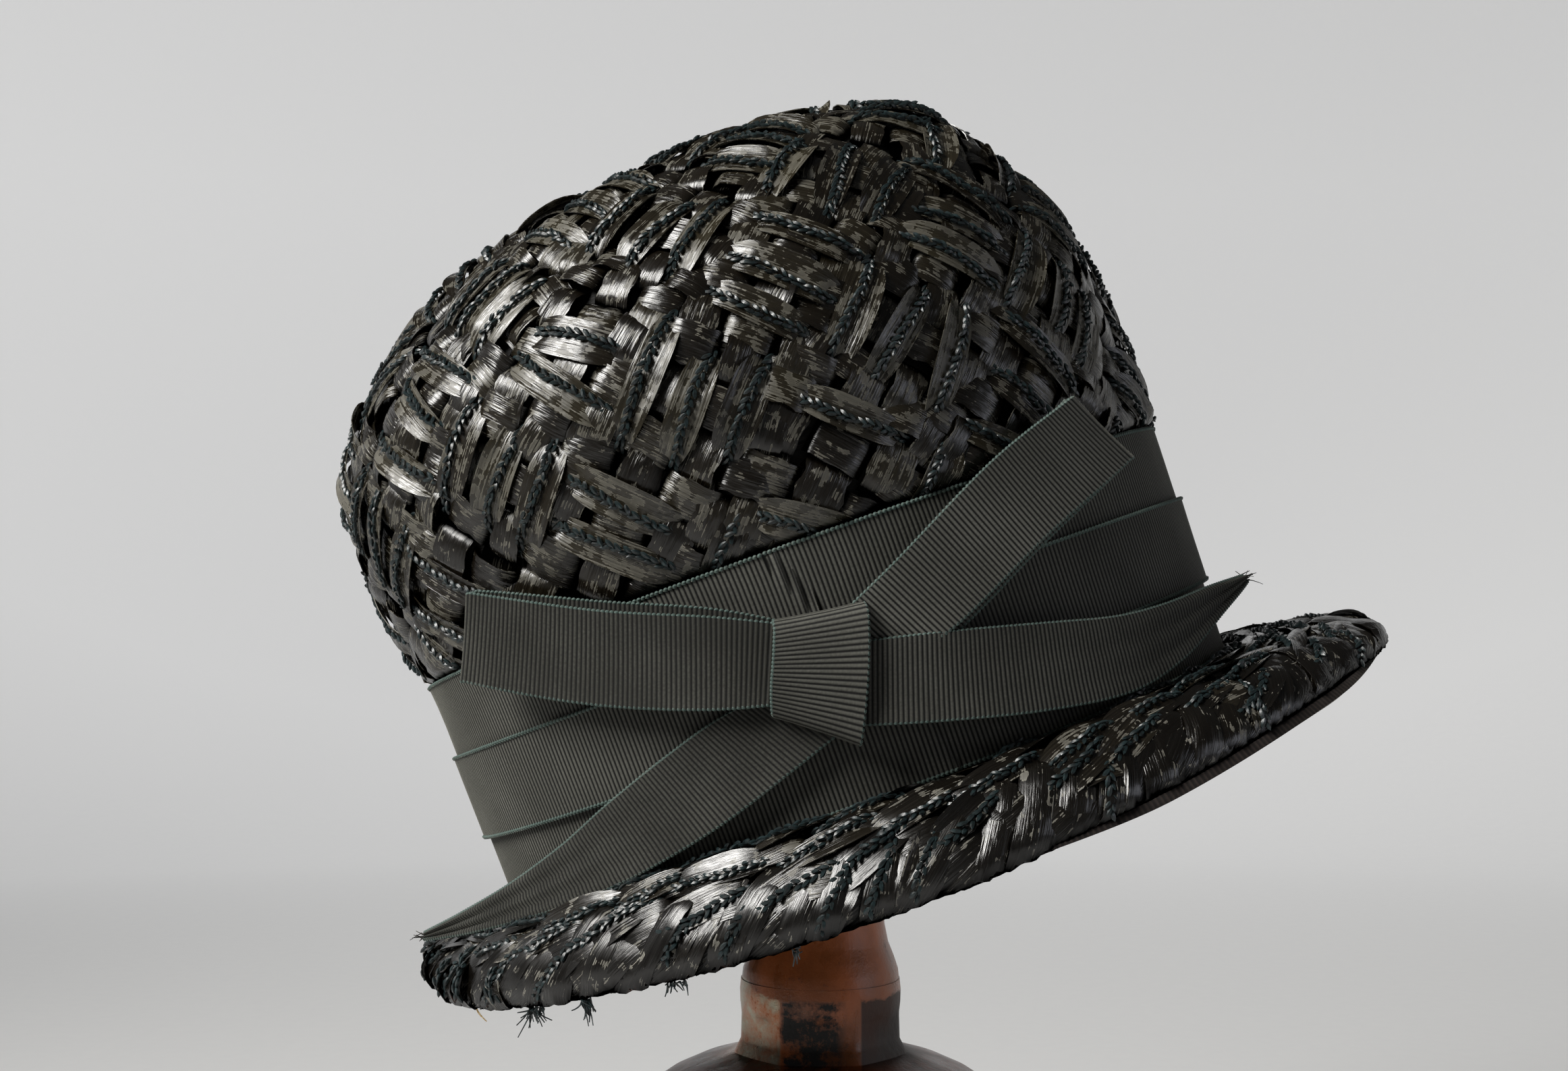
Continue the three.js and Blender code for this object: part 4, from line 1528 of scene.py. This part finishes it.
@dataclass
class Frays:
    """Loose threads at cut ends and torn places, gathered into one piece."""

    name: str
    finish: Finish
    slot: str
    seed: int
    pile: MeshPile = field(default_factory=MeshPile)

    def __post_init__(self) -> None:
        """Seed the threads' wander."""
        self.random = np.random.default_rng(self.seed)

    def tuft(self, root: Array, way: Array, count: int, length: float, spread: float, radius: float = 0.13) -> None:
        """Add a tuft of threads.

        Args:
            root: Where the tuft starts.
            way: Direction that it points in.
            count: Number of threads.
            length: Usual length of a thread.
            spread: How far the threads fan out, against their length.
            radius: Half of a thread's thickness.
        """
        turns = np.radians([0, 90, 180, 270])
        for _ in range(count):
            start = root + self.random.normal(0, 0.6, 3)
            lean = unit(way + self.random.normal(0, spread, 3))
            curl = self.random.normal(0, 0.35, 3)
            size = length * self.random.uniform(0.5, 1.2)
            share = np.linspace(0, 1, 7)[:, None]
            line = start + lean * size * share + curl * size * share**2
            tangent = unit(np.gradient(line, axis=0))
            side = unit(np.cross(tangent, [0.3, 0.5, 0.8]))
            up = np.cross(tangent, side)
            taper = radius * (1 - 0.5 * share)
            round_it = np.cos(turns)[None, :, None] * side[:, None] + np.sin(turns)[None, :, None] * up[:, None]
            rings = line[:, None] + round_it * taper[..., None]
            caps = np.array([[3, 2, 1, 0], [24, 25, 26, 27]])
            self.pile.add(rings.reshape(-1, 3), [tube_quads(7, 4), caps], tone=float(self.random.uniform(0, 1)))

    def build(self) -> None:
        """Build the threads."""
        self.pile.build(self.name, self.finish, self.slot)


@dataclass
class Trim:
    """The three-tier band, the bow and the binding under the brim."""

    crown: CrownForm
    brim: BrimForm
    line_upper: float = -20.5
    line_lower: float = -43.5
    overlap: float = 2.0
    left_loop: tuple = (
        (-5, -26.5, 3.5, 9.2, 24),
        (-14, -19.8, 4.4, 10.8, 20),
        (-27, -9.4, 6, 11.2, 23),
        (-42.6, 6, 11, 11.4, 33),
    )
    right_loop: tuple = (
        (5.0, -27.5, 2.2, 8.2, -27),
        (13, -22.5, 3, 10.2, -27),
        (29, -8.1, 5, 11, -24),
        (44, 1.8, 9, 11.4, -36),
    )
    left_tail: tuple = (
        (-3, -38, 1, 8.5, -36),
        (-12.4, -42.2, 1, 10.2, -30),
        (-22, -47.6, 1.2, 10.4, -24),
        (-33, -53, 2, 9.2, -19),
        (-43, -57.2, 4, 7, -14),
        (-55, -60.2, 7.5, 4.6, -8),
        (-67, -62, 14, 2.6, -4),
        (-77, -62.8, 22, 0.8, 0),
    )
    right_tail: tuple = (
        (2.5, -36.5, 4.6, 9.6, 20),
        (12.5, -41.7, 4.6, 10.2, 18),
        (25.3, -47.8, 3.2, 10.2, 13),
        (37.8, -52, 2.4, 9.2, 8),
        (48.5, -51.6, 3, 7, 0),
        (60.5, -48.6, 5, 3.8, -6),
        (72, -46.5, 9, 0.8, -8),
    )
    knot: tuple = (
        (0.8, -17.9, 1.2, 10.6, 98),
        (0.8, -18, 4.6, 10.8, 98),
        (0.6, -20.4, 6.9, 11, 99),
        (-0.8, -28, 7.6, 11, 107),
        (-2.4, -35.5, 7.4, 11, 117),
        (-3.8, -42, 5.8, 10.8, 126),
        (-4.1, -43.4, 2.8, 10.4, 128),
    )
    binding_stretch: Pair = (0.66, 0.96)
    binding_width: float = 13.0
    binding_rib: float = 0.22
    binding_hang: float = 2.7  # how far it shows below the straw towards the front end

    def build(self) -> None:
        """Build every ribbon of the hat."""
        self.build_band()
        self.build_bow()
        self.build_binding()

    def build_band(self) -> None:
        """Build the band's three tiers."""
        selvages = Selvages("band_selvages")
        outer = GAP + RIBBON_THICKNESS + GAP
        upper_pleat = (Pleat(turn_low=2.5, turn_high=-3.2),)
        lower_pleat = (Pleat(turn_low=11.5, turn_high=9.0, rise=0.6),)
        for tier in (
            BandTier("band_upper", self.line_upper - self.overlap, 0.0, GAP, upper_pleat, (4,)),
            BandTier("band_middle", self.line_lower, self.line_upper, outer, (), (0, 4)),
            BandTier("band_lower", CROWN_FOOT + GAP, self.line_lower + self.overlap, GAP, lower_pleat, (0,)),
        ):
            tier.build(self.crown, selvages)
        selvages.build()

    def build_bow(self) -> None:
        """Build the loops, tails and knot, and the loose threads at the tails' ends."""
        selvages = Selvages("bow_selvages")
        # painted light and shade: the left loop and the tails are painted darker than the band, the right loop
        # lighter
        loops = [
            BowRibbon("bow_loop_left", self.left_loop, Fold.LOOP, back_rise=2.1, hold="folded", painted_light_shift=-0.31),
            BowRibbon("bow_loop_right", self.right_loop, Fold.LOOP, back_rise=-1.8, hold="folded", painted_light_shift=0.08),
        ]
        tails = [
            BowRibbon("bow_tail_left", self.left_tail, painted_light_shift=-0.3),
            BowRibbon("bow_tail_right", self.right_tail, painted_light_shift=-0.16),
        ]
        for ribbon in (*loops, *tails, BowRibbon("bow_knot", self.knot, hold="folded")):
            ribbon.build(selvages)
        selvages.build()
        frays = Frays("bow_frays", RIBBON, "grosgrain", 5)
        for tail in tails:
            end, way = tail.ending()
            frays.tuft(end, way, 12, 4.0, 0.16, 0.18)
        frays.build()

    def build_binding(self) -> None:
        """Build the ribbon that binds the underside of the brim's edge."""
        near = -STRAW_THICKNESS / 2 - GAP
        start, end = self.binding_stretch
        points = self.brim.line(self.brim.turns[:-1], 0.9, near)
        runs = runs_along(points)
        samples = 3 * int(round(runs[-1] / RIB_PITCH / 1.15))
        turns = np.interp(np.arange(samples) * runs[-1] / samples, runs, self.brim.turns[:-1])
        run = np.arange(samples) / 3 * RIB_PITCH
        # rib heights, which the binding's material paints as shade in the valleys
        shade = rib(run)
        height = shade * self.binding_rib
        shares = np.linspace(start, end, 5)
        outer = [self.brim.line(turns, share, (near - 0.7 - height)[:, None]) for share in shares]
        inner = [self.brim.line(turns, share, near) for share in shares[::-4]]
        below = unit(outer[-1] - outer[-2]) * (0.5 + self.binding_hang * bound_front(turns))[:, None]
        skin = [self.brim.line(turns, 0.97, (0.5 + height)[:, None]) + below * share for share in (1.0, 0.3)]
        outer.append(outer[-1] + below)
        loops = np.stack(outer + skin + inner, 1)
        across = np.array([0.0, 2.0, 4.0, 6.0, 8.0, 10.0, 12.0, 14.0, 8.0, 0.0])
        uv = np.stack(np.broadcast_arrays(run[:, None], across[None]), -1)
        pile = MeshPile()
        pile.add_ring(loops, uv, np.broadcast_to(shade[:, None], loops.shape[:2]))
        made = pile.build("brim_binding_ribbon", BINDING, "binding", ["brim_binding"], sharp=70)


@dataclass
class DisplayStand:
    """The turned stand: a pot-bellied body, a facetted sleeve and a post with a domed cap."""

    body: tuple = (
        (60, 0),
        (61.4, 0.8),
        (62, 3),
        (62, 9),
        (60, 11.4),
        (55, 14),
        (52.6, 20),
        (52, 30),
        (53, 46),
        (55, 62),
        (57, 84),
        (56.2, 91),
        (53, 97),
        (49, 102),
        (43, 106),
        (36, 109.2),
        (30, 111),
        (24.6, 113),
        (22.6, 117),
        (22.4, 124),
        (22.6, 130),
        (22.3, 132.9),
    )
    skirt: tuple = ((22.1, 132.9), (21.8, 135.5), (20.6, 139), (19.0, 143), (18.0, 148), (17.7, 153))
    post_radius: float = 17.7
    cap_radius: float = 45.0
    cap_dome: float = 70.0
    cap_top: float = 367.1

    def build(self) -> None:
        """Build the body and the post."""
        self.build_body()
        self.build_post()

    def lathe(
        self, profile: Sequence[Pair], name: str, replaces: str, facets: Callable[[Array, Array, Array], Array]
    ) -> None:
        """Turn a profile into a closed piece.

        Args:
            profile: Radius and height of each ring, from the bottom up.
            name: Name of the piece.
            replaces: CAD node that it stands for.
            facets: Change of the radius with angle, height and radius.
        """
        rows = np.array(profile, float)
        runs = runs_along(rows)
        steps = np.unique(np.concatenate([runs, np.arange(0, runs[-1], 3.5)]))
        radius, height = np.interp(steps, runs, rows[:, 0]), np.interp(steps, runs, rows[:, 1])
        angle = np.radians(np.arange(0, 360, 4.0))
        grid_height, grid_angle = np.meshgrid(height, angle, indexing="ij")
        grid_radius = radius[:, None] + facets(grid_angle, grid_height, radius[:, None] + 0 * grid_angle)
        rings = np.stack([grid_radius * np.cos(grid_angle), grid_radius * np.sin(grid_angle), grid_height], -1)
        low, around = grid_angle.size, grid_angle.shape[1]
        foot, rim = np.arange(around), np.arange(low - around, low)
        under = np.stack([np.full(around, low), np.roll(foot, -1), foot], -1)
        over = np.stack([np.full(around, low + 1), rim, np.roll(rim, -1)], -1)
        points = np.concatenate([rings.reshape(-1, 3), [[0, 0, height[0]], [0, 0, height[-1]]]])
        pile = MeshPile()
        pile.add(points, [tube_quads(*grid_angle.shape), np.concatenate([under, over])])
        pile.build(name, WOOD, "stand", [replaces], Space.ROW, sharp=32)

    def build_body(self) -> None:
        """Build the body and its sleeve, whose flats were cut with a knife."""

        def facets(angle: Array, height: Array, radius: Array) -> Array:
            """Seven flats on the sleeve, fading out over the shoulder."""
            flat = math.tau / 7
            off = (angle + math.pi / 2 + flat / 2) % flat - flat / 2
            cut = (math.cos(flat / 2) / np.cos(off) - 1) * radius + 0.35
            return np.minimum(cut, 0.0) * smooth_step(height, 109, 114) * (1 - smooth_step(height, 122, 126)) * 0.7

        self.lathe(self.body, "stand_turned_body", "stand_body", facets)

    def build_post(self) -> None:
        """Build the post and the domed cap that holds the crown up."""
        rim = self.cap_top - self.cap_dome + math.sqrt(self.cap_dome**2 - self.cap_radius**2)
        profile = [*self.skirt, (self.post_radius, rim - 14), (self.cap_radius, rim - 5), (self.cap_radius, rim)]
        wide = math.asin(self.cap_radius / self.cap_dome)
        for share in np.linspace(0.94, 0.04, 12):
            angle = wide * share
            profile.append((self.cap_dome * math.sin(angle), self.cap_top - self.cap_dome * (1 - math.cos(angle))))

        def wobble(angle: Array, height: Array, radius: Array) -> Array:
            """Slightly out of round, as a hand-held gouge leaves it."""
            return 0.12 * np.sin(angle * 3 + height * 0.05)

        self.lathe(profile, "stand_turned_post", "stand_post", wobble)


@dataclass
class Studio:
    """A round pale paper sweep, a big soft window light from the upper left and a weak one from the right."""

    camera_at: tuple[float, float, float] = (0.0005, -0.55, 0.2274)
    camera_to: tuple[float, float, float] = (-0.0102, 0.0, 0.2572)
    light_target: tuple[float, float, float] = (0.0, 0.0, 0.25)
    lens: float = 44.38
    floor_radius: float = 1.5
    curve_radius: float = 0.9
    wall_top: float = 1.35

    def build(self) -> None:
        """Build the camera, sweep and lights."""
        self.build_camera()
        self.build_sweep()
        self.build_lights()

    def build_camera(self) -> None:
        """Build the camera at the viewing angle."""
        data = bpy.data.cameras.new("camera")
        data.lens = self.lens
        data.sensor_width = 36.0
        data.clip_start = 0.01
        data.clip_end = 20.0
        data.dof.use_dof = False
        made = add_object("camera", data)
        aim_object(made, self.camera_at, self.camera_to)
        bpy.context.scene.camera = made

    def build_sweep(self) -> None:
        """Build the round floor that curves up into a wall."""
        bend = [
            (self.floor_radius + self.curve_radius * math.sin(a), self.curve_radius * (1 - math.cos(a)))
            for a in np.radians(np.linspace(0, 90, 25))
        ]
        line = [(0.4, 0.0), *bend, (self.floor_radius + self.curve_radius, self.wall_top)]
        turns = np.radians(np.arange(0, 360, 3.0))
        around = len(turns)
        points = [(r * math.cos(a), r * math.sin(a), z) for r, z in line for a in turns] + [(0.0, 0.0, 0.0)]
        faces = [(len(points) - 1, k, (k + 1) % around) for k in range(around)]
        mesh = bpy.data.meshes.new("paper_sweep")
        mesh.from_pydata(points, [], faces + tube_quads(len(line), around)[:, ::-1].tolist())
        mesh.shade_smooth()
        mesh.materials.append(material_of(PAPER))
        add_object("paper_sweep", mesh)

    def area_light(
        self, name: str, at: tuple[float, float, float], size: float, power: float, colour: str, spread: float
    ) -> None:
        """Add one soft square light that faces the hat.

        Args:
            name: Name of the light.
            at: Its place, in metres.
            size: Its width and height, in metres.
            power: Its power in watts.
            colour: Its sRGB hex colour.
            spread: Width of its beam in degrees.
        """
        data = bpy.data.lights.new(name, "AREA")
        data.shape = "SQUARE"
        data.size = size
        data.energy = power
        data.color = linear(colour)[:3]
        data.spread = math.radians(spread)
        aim_object(add_object(name, data), at, self.light_target)

    def build_lights(self) -> None:
        """Build the lights and the room's own glow."""
        self.area_light("window_light", (-1.1, -0.7, 1.2), 0.8, 8.6, "#fffdf9", 75.0)
        self.area_light("right_fill", (1.4, -0.5, 0.4), 0.6, 0.8, "#f0f3ff", 120.0)
        world = bpy.data.worlds.new("room")
        world.use_nodes = True
        world.node_tree.nodes["Background"].inputs["Color"].default_value = linear("#e8e8e6")
        world.node_tree.nodes["Background"].inputs["Strength"].default_value = 0.05
        bpy.context.scene.world = world
        bpy.context.scene.view_settings.view_transform = "Standard"


def main() -> None:
    """Build the hat, its stand and the studio, in order."""
    logging.basicConfig(level=logging.INFO, format="%(name)s: %(message)s")
    Studio().build()
    crown = CrownForm()
    brim = BrimForm(crown)
    StrawCrown(crown).build()
    StrawBrim(brim).build()
    Trim(crown, brim).build()
    DisplayStand().build()


if __name__ == "__main__":
    main()
